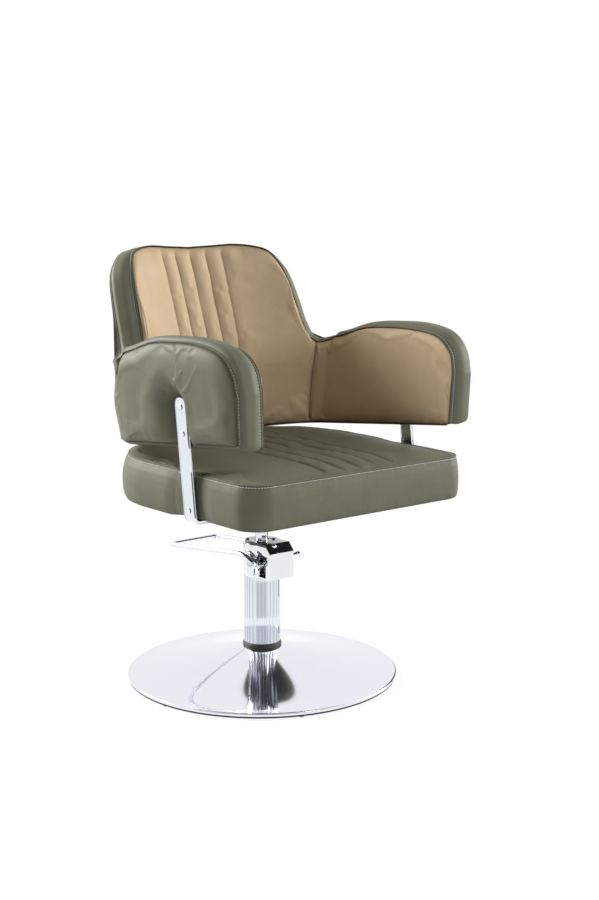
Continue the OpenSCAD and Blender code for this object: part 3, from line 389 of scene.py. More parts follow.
# Several shapes as one, each shape's faces counted on from the points before it
def joined(shapes):
    points, faces, start = [], [], 0
    for shape, groups in shapes:
        points.append(shape)
        faces += [group + start for group in groups]
        start += len(shape)
    return np.concatenate(points), faces


alongX = np.array([[0, 1, 0], [0, 0, 1], [1, 0, 0]])
alongMinusX = np.array([[0, 0, 1], [0, 1, 0], [-1, 0, 0]])


# Rings of points at a radius round a path, each square to it and turned by the up vector
def tube(path, radius, up, sides=12, closed=False):
    ahead = unit(np.roll(path, -1, 0) - np.roll(path, 1, 0) if closed else np.gradient(path, axis=0))
    side = unit(np.cross(ahead, up))
    up = np.cross(side, ahead)
    a = np.arange(sides)[:, None] / sides * 2 * pi
    radius = np.broadcast_to(radius, len(path))[:, None, None]
    points = (path[:, None] + radius * (np.cos(a) * side[:, None] + np.sin(a) * up[:, None])).reshape(-1, 3)
    if closed:
        return points, [gridFaces(len(path), sides, True, True)]
    return np.concatenate([points, path[[0, -1]]]), tippedFaces(len(path), sides)


# Points at even steps along a line of points
def evenly(path, step, closed=False):
    if closed:
        path = np.concatenate([path, path[:1]])
    run = runOf(path)
    at = np.linspace(0, run[-1], max(2, int(round(run[-1] / step))) + 1)
    if closed:
        at = at[:-1]
    return np.stack([np.interp(at, run, column) for column in path.T], -1)


# A sewn cord round a seam
def makePiping(name, path, up, radius, finish):
    shape = tube(path, radius, up, 10, True)
    makePiece(name, shape, "chair", "olive_leather", seam=np.zeros(len(shape[0])), finish=finish)


def sideName(side):
    return "left" if side < 0 else "right"


# Base and column
dome = Values(flare=1.35, neckR=44, lipR=36, rimDrop=6, wall=3, rimH=7, rimR=3.2, rimSlope=0.6, rimHem=3,
    hemUp=2, ringRoom=4, ringR=1.1, turns=256)
collar = Values(bore=35.5, edge=3, draft=0.5, slope=2, edgeR=1.4)


# The dome's height falls from its neck to its rim as a power of the share of the way that is left
def makeBase():
    low, high = nodeBox("base_disc")
    radius, foot, neck = high[0], low[2], high[2]
    rimTop, rimR = foot + dome.rimH, radius - dome.rimDrop
    r = np.linspace(dome.neckR, rimR, 70)
    z = rimTop + (neck - rimTop) * ((rimR - r) / (rimR - dome.neckR)) ** dome.flare
    rim = [(rimR, rimTop), (radius, rimTop - dome.rimSlope), (radius, foot), (radius - dome.rimHem, foot)]
    rim = soften(rim, dome.rimR, 7, False)
    top = np.concatenate([[(dome.lipR, neck)], np.stack([r, z], -1), rim[1:]])
    under = np.stack([r[::-1], z[::-1] - dome.wall], -1)
    hem, lip = (radius - dome.rimHem - 1, foot + dome.hemUp), (dome.lipR, neck - dome.wall)
    profile = np.concatenate([top, [hem], under[2:], [lip]])
    makePiece("base_dome", lathe(profile, dome.turns, closed=True), "pump", "bright_chrome",
        ["base_disc"], 40)
    low, high = nodeBox("base_ring")
    inner = nodeBox("base_plate")[1][0] + dome.ringRoom
    ring = [(inner, low[2]), (high[0] - 1, low[2]), (high[0], high[2]), (inner, high[2])]
    ring = soften(ring, dome.ringR, 4)
    makePiece("base_rubber", lathe(ring, dome.turns, closed=True), "pump", "dark_rubber", ["base_ring"], 50)
    low, high = nodeBox("foot_collar")
    lip = [(collar.bore, low[2]), (high[0] - collar.draft, low[2]), (high[0], low[2] + collar.edge),
        (high[0], high[2] - collar.edge), (high[0] - collar.slope, high[2]), (collar.bore, high[2])]
    makePiece("neck_collar", lathe(soften(lip, collar.edgeR, 4), 128, closed=True), "pump", "dark_rubber",
        ["foot_collar"], 50)


cover = Values(flutes=32, fluteR=2.6, inset=0.35, wall=4, perFlute=16, skin=0.15,
    ends=((0, 0.9), (0.5, 0.25), (1.5, 0)))


# Radius of the fluted cover at an angle: its circle, cut by round flutes and eased at its ends
def makeCover():
    low, high = nodeBox("column_cover")
    outer, count = high[0], cover.flutes * cover.perFlute
    a = np.arange(count)[:, None] / count * 2 * pi
    off = (a * cover.flutes / (2 * pi) + 0.5) % 1 - 0.5
    turn = off * 2 * pi / cover.flutes
    middle = outer + cover.inset * cover.fluteR
    inside = np.maximum(cover.fluteR ** 2 - (middle * np.sin(turn)) ** 2, 0)
    groove = middle * np.cos(turn) - np.sqrt(inside)
    radius = np.where(inside > 0, np.minimum(groove, outer), outer) - cover.skin
    along, eased = np.array(cover.ends).T
    z = np.concatenate([low[2] + along, high[2] - along[::-1], [high[2], low[2]]])
    bore = np.full((count, 2), outer - cover.wall)
    r = np.concatenate([radius - np.append(eased, eased[::-1]), bore], 1)
    points = np.stack([r * np.cos(a), r * np.sin(a), z + 0 * r], -1).reshape(-1, 3)
    makePiece("fluted_cover", (points, [gridFaces(count, len(z), True, True)]), "pump", "bright_chrome",
        ["column_cover"], 40)


# The ram: a rod turned from a plain profile with broken edges
def makeRam():
    low, high = nodeBox("ram")
    r, foot, top = high[0], low[2], high[2]
    profile = [(0, foot), (r - 1, foot), (r, foot + 1), (r, (foot + top) / 2), (r, top), (0, top)]
    makePiece("ram_rod", lathe(profile), "chair", "bright_chrome", ["ram"], 40)


makeBase()
makeCover()
makeRam()
print("base and column made")


edging = Values(merge=0.00002, flat=1.5, bevelFrom=32, sharpFrom=30, steps=3)


# A machined part: the frame's own shape, merged, with its edges rounded
def machined(name, node, body, slot, width):
    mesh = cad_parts[node].data.copy()
    mesh.name = name
    piece = bpy.data.objects.new(name, mesh)
    scene.collection.objects.link(piece)
    mesh.materials.clear()
    mesh.materials.append(finishes[slot])
    weld = piece.modifiers.new("weld", "WELD")
    weld.merge_threshold = edging.merge
    flat = piece.modifiers.new("flat", "DECIMATE")
    flat.decimate_type, flat.angle_limit = "DISSOLVE", np.radians(edging.flat)
    edge = piece.modifiers.new("edge", "BEVEL")
    edge.width, edge.segments, edge.angle_limit = width * metre, edging.steps, np.radians(edging.bevelFrom)
    edge.limit_method, edge.harden_normals = "ANGLE", False
    rounded = bpy.data.meshes.new_from_object(piece.evaluated_get(bpy.context.evaluated_depsgraph_get()))
    piece.modifiers.clear()
    piece.data = rounded
    rounded.shade_smooth()
    rounded.set_sharp_from_angle(angle=np.radians(edging.sharpFrom))
    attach(piece, body)
    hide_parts(node)


machined("pump_casting", "pump_head", "pump", "polished_cast", 1.4)
machined("pump_lid", "head_lid", "pump", "black_gloss", 0.8)
machined("slope_plate", "valve_plate", "pump", "black_gloss", 0.5)
machined("pivot_cheeks", "pedal_cheeks", "pedal", "bright_chrome", 0.8)
machined("under_plate", "seat_plate", "chair", "black_steel", 0.8)

pump = Values(slope=18, front=70.6, plugX=-12, plugUp=14.04, plateT=2, knobRoot=7,
    screws=((-22, 23), (22, 23), (-22, -14), (22, -14)), screwR=2, screwL=12)
plugProfile = [(0, -10), (3.3, -10), (3.3, 0), (5.6, 0), (5.9, 0.5), (5.3, 2), (4.2, 3.2), (2.4, 4.1),
    (0, 4.5)]


# Round head with a socket in it
def socketHead(radius, height):
    socket = radius * 0.42
    return np.array([(0, height * 0.45), (socket * 0.98, height * 0.45), (socket, height * 0.98),
        (socket + 0.2, height), (radius * 0.8, height * 0.93), (radius * 0.96, height * 0.62),
        (radius, height * 0.25), (radius, 0), (0, 0)])


# Plug, knob, screws and roller: profiles turned round their own axes
def makeFittings():
    s = np.sqrt(0.5)
    lidTop = nodeBox("head_lid")[1][2]
    seat = np.array([pump.plugX, pump.plugUp - pump.front, lidTop - pump.slope + pump.plugUp])
    dome = soften(np.array(plugProfile) + [0, pump.plateT], 0.5, 4, False)
    makePiece("domed_plug", lathe(dome, 64, seat, np.array([[1, 0, 0], [0, s, s], [0, -s, s]])), "pump",
        "bright_chrome", ["filler_plug"], 40)
    low, high = nodeBox("valve_knob")
    foot, r = low[0] + pump.knobRoot, (high[1] - low[1]) / 2
    length = high[0] - foot
    knob = [(0, -pump.knobRoot), (r * 0.5, -pump.knobRoot), (r * 0.5, 0), (r * 0.76, 0),
        (r * 0.76, length - 9), (r, length - 8.4), (r, length - 0.8), (r * 0.8, length),
        (r * 0.3, length - 0.6), (0, length - 0.6)]
    middle = (foot, (low[1] + high[1]) / 2, (low[2] + high[2]) / 2)
    makePiece("release_knob", lathe(soften(knob, 0.5, 4, False), 64, middle, alongX), "pump", "bright_chrome",
        ["valve_knob"], 40)
    heads = []
    for x, y in pump.screws:
        heads.append(lathe(socketHead(4, 2.4), 48, (x, y, lidTop)))
        shank = [(0, -pump.screwL), (pump.screwR, -pump.screwL), (pump.screwR, 0), (0, 0)]
        heads.append(lathe(shank, 24, (x, y, lidTop)))
    makePiece("lid_cap_screws", joined(heads), "pump", "dark_screws", ["lid_screws"], 40)
    low, high = nodeBox("pedal_roller")
    r, half = (high[2] - low[2]) / 2, high[0]
    middle = (0, (low[1] + high[1]) / 2, (low[2] + high[2]) / 2)
    barrel = soften([(r * 0.56, -half), (r, -half), (r, half), (r * 0.56, half)], 0.8, 4)
    makePiece("press_roller", lathe(barrel, 64, middle, alongX, True), "roller", "zinc_screws",
        ["pedal_roller"], 40)


pedal = Values(gap=88, cheek=6, rod=11, fit=0.1, width=137, reach=263, height=258, rootZ=282, pivotY=-21,
    root=(15, 1.5), end=(-18, -13.5), bigBend=60, tipBend=14)


# Arc of a given radius in the corner b between a and c
def bend(a, b, c, radius):
    u, v = unit(a - b), unit(c - b)
    half = np.arccos(u @ v) / 2
    middle = b + unit(u + v) * radius / np.sin(half)
    start, end = b + u * radius / np.tan(half) - middle, b + v * radius / np.tan(half) - middle
    turn = pi - 2 * half
    s = np.linspace(0, 1, 14)[:, None]
    return middle + (start * np.sin(turn * (1 - s)) + end * np.sin(turn * s)) / np.sin(turn)


# The rod's path: out of one cheek, along and round the cross-bar, and back as its mirror image
def makePedal():
    rootX = pedal.gap / 2 + pedal.cheek + pedal.rod / 2 + pedal.fit
    tip = np.array([pedal.width / 2, pedal.reach, pedal.height])
    root, end = [np.array([rootX, pedal.pivotY + ahead, pedal.rootZ + up]) for ahead, up in
        (pedal.root, pedal.end)]
    half = np.concatenate([[end], bend(end, root, tip, pedal.bigBend),
        bend(root, tip, tip * [-1, 1, 1], pedal.tipBend)])
    path = evenly(np.concatenate([half, half[::-1] * [-1, 1, 1]]), 3)
    tilt = np.arctan2(root[2] - tip[2], tip[1] - root[1])
    radius = np.full(len(path), pedal.rod / 2)
    radius[[0, -1]] -= 1
    makePiece("pedal_rod", tube(path, radius, (0, np.sin(tilt), np.cos(tilt)), 28), "pedal", "bright_chrome",
        ["pedal"], 50)


makeFittings()
makePedal()
print("pump made")

bar = Values(width=35, thick=7, bendR=8, foot=120, footR=6, forward=157, lean=6.9, edge=1.3,
    screws=(19, 72, 19))
seatZ = nodeBox("seat_board")[0][2]
barIn = nodeBox("side_bar_right")[1][0] - bar.thick
barTop = nodeBox("side_bar_right")[1][2]


# Tangent of an angle in degrees
def tand(a):
    return np.tan(np.radians(a))


# Middle line of the leaning bar at a height
def barY(z):
    return -bar.forward + (z - seatZ) * tand(bar.lean)


# A flat bar: a rounded strip carried up from under the seat, round its bend, to its rounded end
def makeBar(side):
    r, e, t = bar.width / 2, bar.edge, bar.thick / 2
    mid, bendZ = bar.bendR + t, seatZ + bar.bendR
    footX = barIn - bar.foot
    a = np.radians(np.linspace(0, 90, 24))
    flat = np.stack([np.linspace(footX, barIn - bar.bendR, 20), np.full(20, seatZ - t)], -1)[:-1]
    curve = np.stack([barIn - bar.bendR + mid * np.sin(a), bendZ - mid * np.cos(a)], -1)
    tall = np.concatenate([np.linspace(bendZ, barTop - r, 40)[1:],
        barTop - r + r * np.sin(np.linspace(0, pi / 2, 26)[1:-1]), [barTop - 0.15]])
    line = np.concatenate([flat, curve, np.stack([np.full(len(tall), barIn + t), tall], -1)])
    dy = (barTop - r - seatZ) * tand(bar.lean)
    y = -bar.forward + dy * np.clip((line[:, 1] - bendZ) / (barTop - r - bendZ), 0, 1)
    over = np.clip((line[:, 1] - barTop + r) / r, 0, 1)
    half = r * np.maximum(1 - over ** 2.7, 0.0001) ** 0.4
    past = np.clip((footX + bar.footR - line[:, 0]) / bar.footR, 0, 1)
    half = (half - bar.footR * (1 - np.sqrt(np.maximum(1 - past ** 2, 0))))[:, None]
    tangent = unit(np.gradient(line, axis=0))
    normal = np.stack([tangent[:, 1], -tangent[:, 0]], -1)
    corners = np.radians(np.linspace(0, 90, 5))
    ring = np.array([(sy, sn, np.sin(v), np.cos(v)) for sy, sn in ((1, 1), (1, -1), (-1, -1), (-1, 1))
        for v in (corners[::-1] if sy == sn else corners)])
    roundness = np.minimum(e, half)
    across = ring[:, 0] * (half - roundness + roundness * ring[:, 2])
    deep = ring[:, 1] * (t - e + e * ring[:, 3])
    points = np.stack([side * (line[:, :1] + normal[:, :1] * deep), y[:, None] + across,
        line[:, 1:] + normal[:, 1:] * deep], -1)
    shape = np.concatenate([points.reshape(-1, 3), points[[0, -1]].mean(1)]), tippedFaces(*points.shape[:2])
    makePiece("flat_bar_" + sideName(side), shape, "chair", "bright_chrome",
        ["side_bar_" + sideName(side)], 50)


# Low round head with a deep socket, on its shank
barScrew = [(0, -2.6), (1.6, -2.6), (1.7, 0.9), (1.9, 1), (4.6, 0.95), (5.6, 0.75), (6, 0.4), (6, 0), (3, 0),
    (3, -bar.thick), (0, -bar.thick)]


# One screw into the seat's side and two into the arm, along each bar's leaning middle line
def makeBarScrews():
    heads = []
    foot, middle, top = bar.screws
    for side, axes in ((-1, alongMinusX), (1, alongX)):
        for z in (seatZ + foot, barTop - middle, barTop - top):
            heads.append(lathe(barScrew, 56, (side * (barIn + bar.thick), barY(z), z), axes))
    makePiece("bar_cap_screws", joined(heads), "chair", "zinc_screws", ["bar_screws"], 40,
        finish=finishes.bright_chrome)


makeBar(-1)
makeBar(1)
makeBarScrews()
print("side bars made")

# The shell: a point of it has an outline step p, a share t from the lower edge up and a depth w
shell = Values(armHalf=249, armFlare=0.05, armFront=330, hemFront=578, hemTilt=5.76, backDepth=184,
    lumbarZ=650, straightZ=744, backLean=19.2, backTuck=2, backR=335, backRLow=560, corner=60, cornerLow=88,
    armT=60, backT=58, hemThin=14, padT=22, padEnd=9.3, end=18, flareZ=600, hemSpread=0.2)


# Smooth step from 0 to 1
def ease(t):
    c = np.clip(t, 0, 1)
    return c * c * (3 - 2 * c)


# The share t of the way from a to b
def mix(a, b, t):
    return a + (b - a) * t


# Smooth curve through rows of values, read at step p
def through(rows, p):
    last = len(rows) - 2
    i = np.clip(np.floor(p).astype(int), 0, last)
    t = (p - i)[..., None]
    b, c = rows[i], rows[i + 1]
    a = np.where((i > 0)[..., None], rows[np.maximum(i - 1, 0)], 2 * b - c)
    d = np.where((i < last)[..., None], rows[np.minimum(i + 2, last + 1)], 2 * c - b)
    bent, twisted = 2 * a - 5 * b + 4 * c - d, 3 * b - a - 3 * c + d
    return 0.5 * (2 * b + (c - a) * t + bent * t * t + twisted * t ** 3)


hemFoot = shell.hemFront - (shell.armFront + shell.backDepth) * tand(shell.hemTilt)


# Half the width between the arms: it grows evenly with height
def armX(z):
    return shell.armHalf + (z - shell.flareZ) * shell.armFlare


# The outline at a height: the radii of the hollow back and of its corners, the angle where they meet,
# and how far behind the axis the back's middle and the arm's root lie
def levelAt(z):
    lean, low, high = tand(shell.backLean), shell.lumbarZ, shell.straightZ
    risen = ease((z - hemFoot) / (high - hemFoot))
    r, c = mix(shell.backRLow, shell.backR, risen), mix(shell.cornerLow, shell.corner, risen)
    turn = np.degrees(np.arcsin((armX(z) - c) / (r - c)))
    bowed = lean * (z - low) ** 2 / (high - low) / 2
    tucked = shell.backTuck * ((low - z) / (low - hemFoot)) ** 2
    straight = lean * (z - (high + low) / 2)
    back = shell.backDepth + np.where(z > high, straight, np.where(z > low, bowed, tucked))
    return r, c, turn, back, back - r + (r - c) * np.cos(np.radians(turn))


# Slope of the back's middle line, the change of its depth with height
def backSlope(z):
    low = shell.lumbarZ
    above = tand(shell.backLean) * np.minimum(1, (z - low) / (shell.straightZ - low))
    return np.where(z > low, above, -2 * shell.backTuck * (low - z) / (low - hemFoot) ** 2)


# Point of the shell: an arc across the back, a corner and a straight arm, moved out by w
def shellAt(q, z, w):
    a = np.abs(q)
    r, c, turn, back, foot = levelAt(z)
    angle = np.radians(np.where(a < 1, a * turn, np.where(a < 2, mix(turn, 90, a - 1), 90)))
    k = backSlope(z) * np.cos(angle)
    length = np.sqrt(1 + k * k)
    x = np.where(a < 1, r * np.sin(angle), np.where(a < 2, armX(z) - c + c * np.sin(angle), armX(z)))
    y = np.where(a < 1, back - r + r * np.cos(angle),
        np.where(a < 2, foot + c * np.cos(angle), mix(foot, -shell.armFront, a - 2)))
    x = x + w * np.sin(angle) / length
    return np.stack([np.where(q < 0, -x, x), y + w * np.cos(angle) / length, z - w * k / length], -1)


# How far along the outline, from 0 to 3, a place across the back or beside an arm lies
def qOfX(x, z):
    r, c, turn = levelAt(z)[:3]
    flat = np.degrees(np.arcsin(np.minimum(1, x / r))) / turn
    curved = 1 + (np.degrees(np.arcsin(np.clip((x - armX(z) + c) / c, -1, 1))) - turn) / (90 - turn)
    return np.where(x < r * np.sin(np.radians(turn)), flat, curved)


def qOfY(y, z, w):
    c, turn, _, foot = levelAt(z)[1:]
    curved = 1 + (np.degrees(np.arccos(np.clip((y - foot) / (c + w), -1, 1))) - turn) / (90 - turn)
    return np.where(y > foot, curved, 2 + (foot - y) / (foot + shell.armFront))


# Upper seam from the middle of the back to an arm's front: place, height over the lumbar line, foot's q
seamBack = np.array([[0, 290, 0], [60, 293, 0.22], [115, 296, 0.44], [160, 291, 0.6], [187, 279, 0.74],
    [203, 247, 0.86], [211, 210, 0.96], [216, 162, 1.08], [220, 118, 1.26], [231, 81, 1.48], [242, 73, 1.58]])
seamArmIn = np.array([[69, 80, 1.68], [49, 88, 1.9], [-46, 113, 2.14], [-124, 120, 2.36],
    [-208, 120, 2.62], [-278, 110, 2.82], [-317, 81, 2.93], [-329, 42, 2.99]])
seamArmOut = np.array([[72, 78, 1.68], [46, 89, 1.9], [-46, 114, 2.14], [-124, 121, 2.36],
    [-208, 122, 2.6], [-278, 108, 2.79], [-312, 74, 2.91], [-325, 30, 2.985]])


# One upper seam as rows of outline place, height over the lumbar line and the foot's outline place
def seamRows(arm, w):
    back = np.stack([qOfX(seamBack[:, 0], shell.lumbarZ + seamBack[:, 1]), *seamBack[:, 1:].T], -1)
    front = np.stack([qOfY(arm[:, 0], shell.lumbarZ + arm[:, 1], w), *arm[:, 1:].T], -1)
    return np.concatenate([back, front])


seamIn, seamOut = seamRows(seamArmIn, 0.0), seamRows(seamArmOut, float(shell.armT))


# Height of the shell's lower edge: it falls evenly from the arms' front to the back and spreads with depth
def hemZ(q, w):
    front = shellAt(q, np.full_like(q, shell.hemFront), 0)[..., 1] + shell.armFront
    return shell.hemFront - front * tand(shell.hemTilt) + shell.hemSpread * w


# Outline place and height of the point (p, t, w): a share t of the way from the lower edge to the upper
# seam, which is itself a share of the way from the inner seam's curve to the outer one's
def shellQz(p, t, w):
    row = mix(through(seamIn, np.abs(p)), through(seamOut, np.abs(p)), (w / shell.armT)[..., None])
    return mix(row[..., 2], row[..., 0], t), mix(hemZ(row[..., 2], w), shell.lumbarZ + row[..., 1], t)


# The point (p, t, w) in space: below p 0 it lies on the mirrored side
def shellPoint(p, t, w):
    p, t, w = np.broadcast_arrays(*[np.asarray(v, float) for v in (p, t, w)])
    q, z = shellQz(p, t, w)
    return shellAt(np.where(p < 0, -q, q), z, w)


# Weights of a smooth curve's reading at n even places out of k rows
def spreadWeights(n, k, closed):
    at = np.arange(n) * k / n if closed else np.linspace(0, k - 1, n)
    i = np.floor(at).astype(int)
    f = at - i
    parts = [-f + 2 * f ** 2 - f ** 3, 2 - 5 * f ** 2 + 3 * f ** 3,
        f + 4 * f ** 2 - 3 * f ** 3, f ** 3 - f ** 2]
    weights = np.zeros((n, k))
    for shift, part in zip((-1, 0, 1, 2), parts):
        place = (i + shift) % k if closed else np.clip(i + shift, 0, k - 1)
        np.add.at(weights, (np.arange(n), place), part / 2)
    return weights


# A coarse grid of points read at n by m places
def spread(coarse, n, m, closed=False):
    rows, cols = spreadWeights(n, coarse.shape[0], closed), spreadWeights(m, coarse.shape[1], False)
    return np.einsum("ni,ijk,mj->nmk", rows, coarse, cols)


cloth = Values(frames=14, press=1.2, slack=0.006, mass=0.4, stiff=20, bendStiff=6, padLimit=1.6, armLimit=1.3)


# Cloth over a stuffed panel: the sheet is cut a little larger than its seams, held along them and
# pressed out from within, so it crowns and puckers. Gives how far each point of the grid moved.
def stuffed(points, held, limit, closed=False):
    rows, cols = points.shape[:2]
    mesh = bpy.data.meshes.new("stuffing")
    mesh.from_pydata((points.reshape(-1, 3) * metre).tolist(), [], gridFaces(rows, cols, closed).tolist())
    sheet = bpy.data.objects.new("stuffing", mesh)
    scene.collection.objects.link(sheet)
    pins = sheet.vertex_groups.new(name="held")
    pins.add([int(i) for i in np.flatnonzero(held.ravel())], 1.0, "REPLACE")
    sim = sheet.modifiers.new("cloth", "CLOTH")
    settings = sim.settings
    settings.vertex_group_mass = "held"
    settings.quality, settings.mass = 5, cloth.mass
    settings.tension_stiffness = settings.compression_stiffness = cloth.stiff
    settings.shear_stiffness, settings.bending_stiffness = cloth.stiff / 2, cloth.bendStiff
    settings.shrink_min = settings.shrink_max = -cloth.slack
    settings.use_pressure, settings.uniform_pressure_force = True, cloth.press
    settings.effector_weights.gravity = 0
    sim.collision_settings.use_collision = False
    sim.point_cache.frame_start, sim.point_cache.frame_end = 1, cloth.frames
    for step in range(1, cloth.frames + 1):
        scene.frame_set(step)
    result = sheet.evaluated_get(bpy.context.evaluated_depsgraph_get()).data
    moved = np.empty(rows * cols * 3, np.float32)
    result.vertices.foreach_get("co", moved)
    scene.frame_set(1)
    bpy.data.objects.remove(sheet)
    moved = moved.reshape(rows, cols, 3) / metre - points
    far = np.linalg.norm(moved, axis=-1, keepdims=True)
    return moved * np.minimum(1, limit / np.maximum(far, 1e-6))


# What moves of a coarse sheet held along its edges and along its sewn rows, spread over a fine grid
def crowned(coarse, sewnRows, clear, n, m):
    held = np.zeros(coarse.shape[:2], bool)
    held[[0, -1]], held[:, [0, -1]] = True, True
    for row in sewnRows:
        held[row, clear:-clear] = True
    return spread(stuffed(coarse, held, cloth.padLimit), n, m)


# The edge of a grid as one closed line
def loopOf(grid):
    return np.concatenate([grid[:, 0], grid[-1, 1:], grid[-2::-1, -1], grid[0, -2:0:-1]])


# A face grid, rings that go on from its edge, and a last point that closes the back
def rimmed(face, rings, last):
    n, m = face.shape[:2]
    loop = loopOf(np.arange(n * m).reshape(n, m))
    start = n * m + np.arange(len(rings))[:, None] * len(loop) + np.arange(len(loop))
    chain = np.concatenate([loop[None], start])
    a, b = chain[:-1], chain[1:]
    sides = np.stack([a, b, np.roll(b, -1, 1), np.roll(a, -1, 1)], -1).reshape(-1, 4)
    points = np.concatenate([face.reshape(-1, 3), np.asarray(rings).reshape(-1, 3), [last]])
    return points, [gridFaces(n, m), sides, fanFaces(chain[-1], len(points) - 1)]


# Uneven ripples along a seam: a third of the sum of four sine waves of unlike length
def ripple(along, shift=0.0):
    waves = ((31, 0.4), (19, 1.7), (47, 2.9), (13, 4.1))
    return sum(np.sin(along / length * 2 * pi + phase + shift) for length, phase in waves) / 3


stitching = Values(step=6.2, long=4.2, thick=0.7, high=0.45, sides=6)


# Stitches: each a short lozenge of thread laid along the seam, slightly sunk at its ends
def makeStitches(name, lines):
    a = np.arange(stitching.sides)[:, None] / stitching.sides * 2 * pi
    s = np.array([-0.5, -0.32, 0, 0.32, 0.5])[:, None]
    fat = np.array([0.35, 0.85, 1, 0.85, 0.35])[:, None, None]
    drop = np.array([-0.5, -0.1, 0.05, -0.1, -0.5])[:, None]
    faces, size = tippedFaces(5, stitching.sides), 5 * stitching.sides + 2
    shapes = []
    for path, up in lines:
        both = evenly(np.concatenate([path, up], 1), stitching.step)
        path, up = both[:, :3], unit(both[:, 3:])
        ahead = unit(np.gradient(path, axis=0))
        side = np.cross(ahead, up)
        middle = path[:, None] + s * stitching.long * ahead[:, None] + drop * up[:, None]
        across = stitching.thick * np.cos(a) * side[:, None] + stitching.high * np.sin(a) * up[:, None]
        rings = (middle[:, :, None] + fat * across[:, None]).reshape(len(path), size - 2, 3)
        starts = size * np.arange(len(path))[:, None, None]
        shapes.append((np.concatenate([rings, middle[:, [0, -1]]], 1).reshape(-1, 3),
            [(starts + group).reshape(-1, group.shape[1]) for group in faces]))
    makePiece(name, joined(shapes), "chair", "olive_leather", finish=finishes.thread)


# Inner pads
pads = Values(puff=11, channels=2, pitch=0.7, depth=6.6, inset=0.03, bow=2.2, groove=1.1)


# Pillows between the sewn channels: a dip that falls to nothing in the middle between two seams,
# and a narrow groove at each seam
def channelDip(p):
    near = np.round(p / pads.pitch)
    inside = np.abs(near) <= pads.channels
    off = np.abs(p - near * pads.pitch) / pads.pitch
    pillow = pads.depth * np.maximum(0, 1 - 2 * off) ** 2.1
    return np.where(inside, pillow, 0), np.where(inside, np.exp(-(off / 0.035) ** 2), 0)


# Depth of a pad's face: crowned between its seams; the back is sewn in pillows with a groove at each
# seam. The seam mask is painted shade: darkest in the grooves and at the edges, and deepening softly towards
# the seat.
def padFace(p, t, low, high, sewn):
    u, v = np.abs(2 * (p - low) / (high - low) - 1), np.abs(2 * t - 1)
    w = -pads.puff * (1 - u ** 8) * (1 - v ** 10) + 2
    # edge is painted shade: darker at the pad's edges, towards the seat and, on the back, in the sewn grooves
    edge = np.exp(-((1 - u) / 0.02)) + np.exp(-((1 - v) / 0.03)) + 0.45 * np.exp(-t / 0.16)
    if sewn:
        dip, groove = channelDip(p)
        fade = ease((1 - v) * 7)
        w = w + (dip + pads.groove * groove) * fade
        edge = edge + groove * fade
    return w, np.clip(edge, 0, 1)


# Steps of a pad's grid; the seam between the back and an arm bows forward at mid height
def padGrid(low, high, n, m):
    base = np.linspace(low, high, n)[:, None] + np.zeros((1, m))
    t = np.linspace(0.004, 0.996, m)[None, :] + np.zeros((n, 1))
    side = ((shell.end - base) / (shell.end - shell.padEnd)) ** 2
    lean = np.where(base <= shell.padEnd, (base / shell.padEnd) ** 5, side)
    return base + pads.bow * (t + 0.25) * (1 - t) * lean, t, base


# A pad: its face, a seam that rolls back over the shell's inside and a flat back on the core
def makePad(name, node, low, high, n, m, sewn, mirrored=False):
    def faceAt(rows, cols):
        p, t, base = padGrid(low, high, rows, cols)
        w, seam = padFace(base, t, low, high, sewn)
        return shellPoint(p, t, w), p, t, w, seam

    face, p, t, w, seam = faceAt(n, m)
    rows = 110 if sewn else 64
    line = np.linspace(low, high, rows)
    sewnRows = [np.argmin(np.abs(line - k * pads.pitch)) for k in range(-pads.channels, pads.channels + 1)]
    face = face + crowned(faceAt(rows, 40)[0], sewnRows if sewn else [], 2, n, m)
    loopP, loopT, edgeW = loopOf(p), loopOf(t), loopOf(w)
    rings = [shellPoint(loopP, loopT, mix(edgeW, pads.inset + shell.padT, s)) for s in (0.08, 0.3, 0.6, 0.95)]
    middle = (low + high) / 2
    for s in (0.97, 0.8, 0.6, 0.4, 0.2):
        rings.append(shellPoint(mix(middle, loopP, s), mix(0.5, loopT, s), shell.padT))
    points, faces = rimmed(face, rings, shellPoint(middle, 0.5, shell.padT))
    if mirrored:
        points = points * [-1, 1, 1]
    # The sides that roll in under the face take the full deep colour: painted shade in the gap round the pad
    seam = np.concatenate([seam.ravel(), np.ones(len(points) - seam.size)])
    makePiece(name, (points, faces), "chair", "tan_leather", [node], seam=seam, behind=finishes.olive_leather)


makePad("back_cushion", "back_pad", -shell.padEnd, shell.padEnd, 520, 130, True)
makePad("arm_cushion_right", "arm_pad_right", shell.padEnd + pads.inset, shell.end, 200, 90, False)
makePad("arm_cushion_left", "arm_pad_left", shell.padEnd + pads.inset, shell.end, 200, 90, False, True)
print("inner pads made")

# Cover and boxing: the skin behind the shell and the band that closes its edge
band = Values(start=0.6, outer=58.2, wide=57, seam=1.2, crown=3, armCrown=10, inside=34.2,
    inward=(34.2, 23.2, 12, 2), cornerP=0.4, cornerT=0.09, top=520, front=60, hem=420, stitch=6.5,
    thread=0.45, bulge=11, bulgeZ=742, spanUp=62, spanDown=44, dip=11, sunk=3, tucked=15, room=0.8, cord=0.9)

# Outer arm pads: [depth, height over the lumbar line] round the pad from the front's foot
armOutline = np.array([[-325, -60], [-327, -20], [-322, 20], [-311, 57], [-293, 89], [-268, 109],
    [-238, 118], [-199, 121], [-155, 120], [-92, 116], [-12, 106], [34, 88], [70, 60], [94, 28], [104, 1],
    [104, -26], [95, -54], [80, -80], [54, -94], [-43, -90], [-162, -79], [-296, -66]])
armPad = Values(puff=15, inner=42.9, face=59, room=0.9, midZ=640, innerMid=(2, -10), round=2.5,
    floor=19, rear=88, front=34, above=56, tilt=0.45, tuck=4, start=0.02)


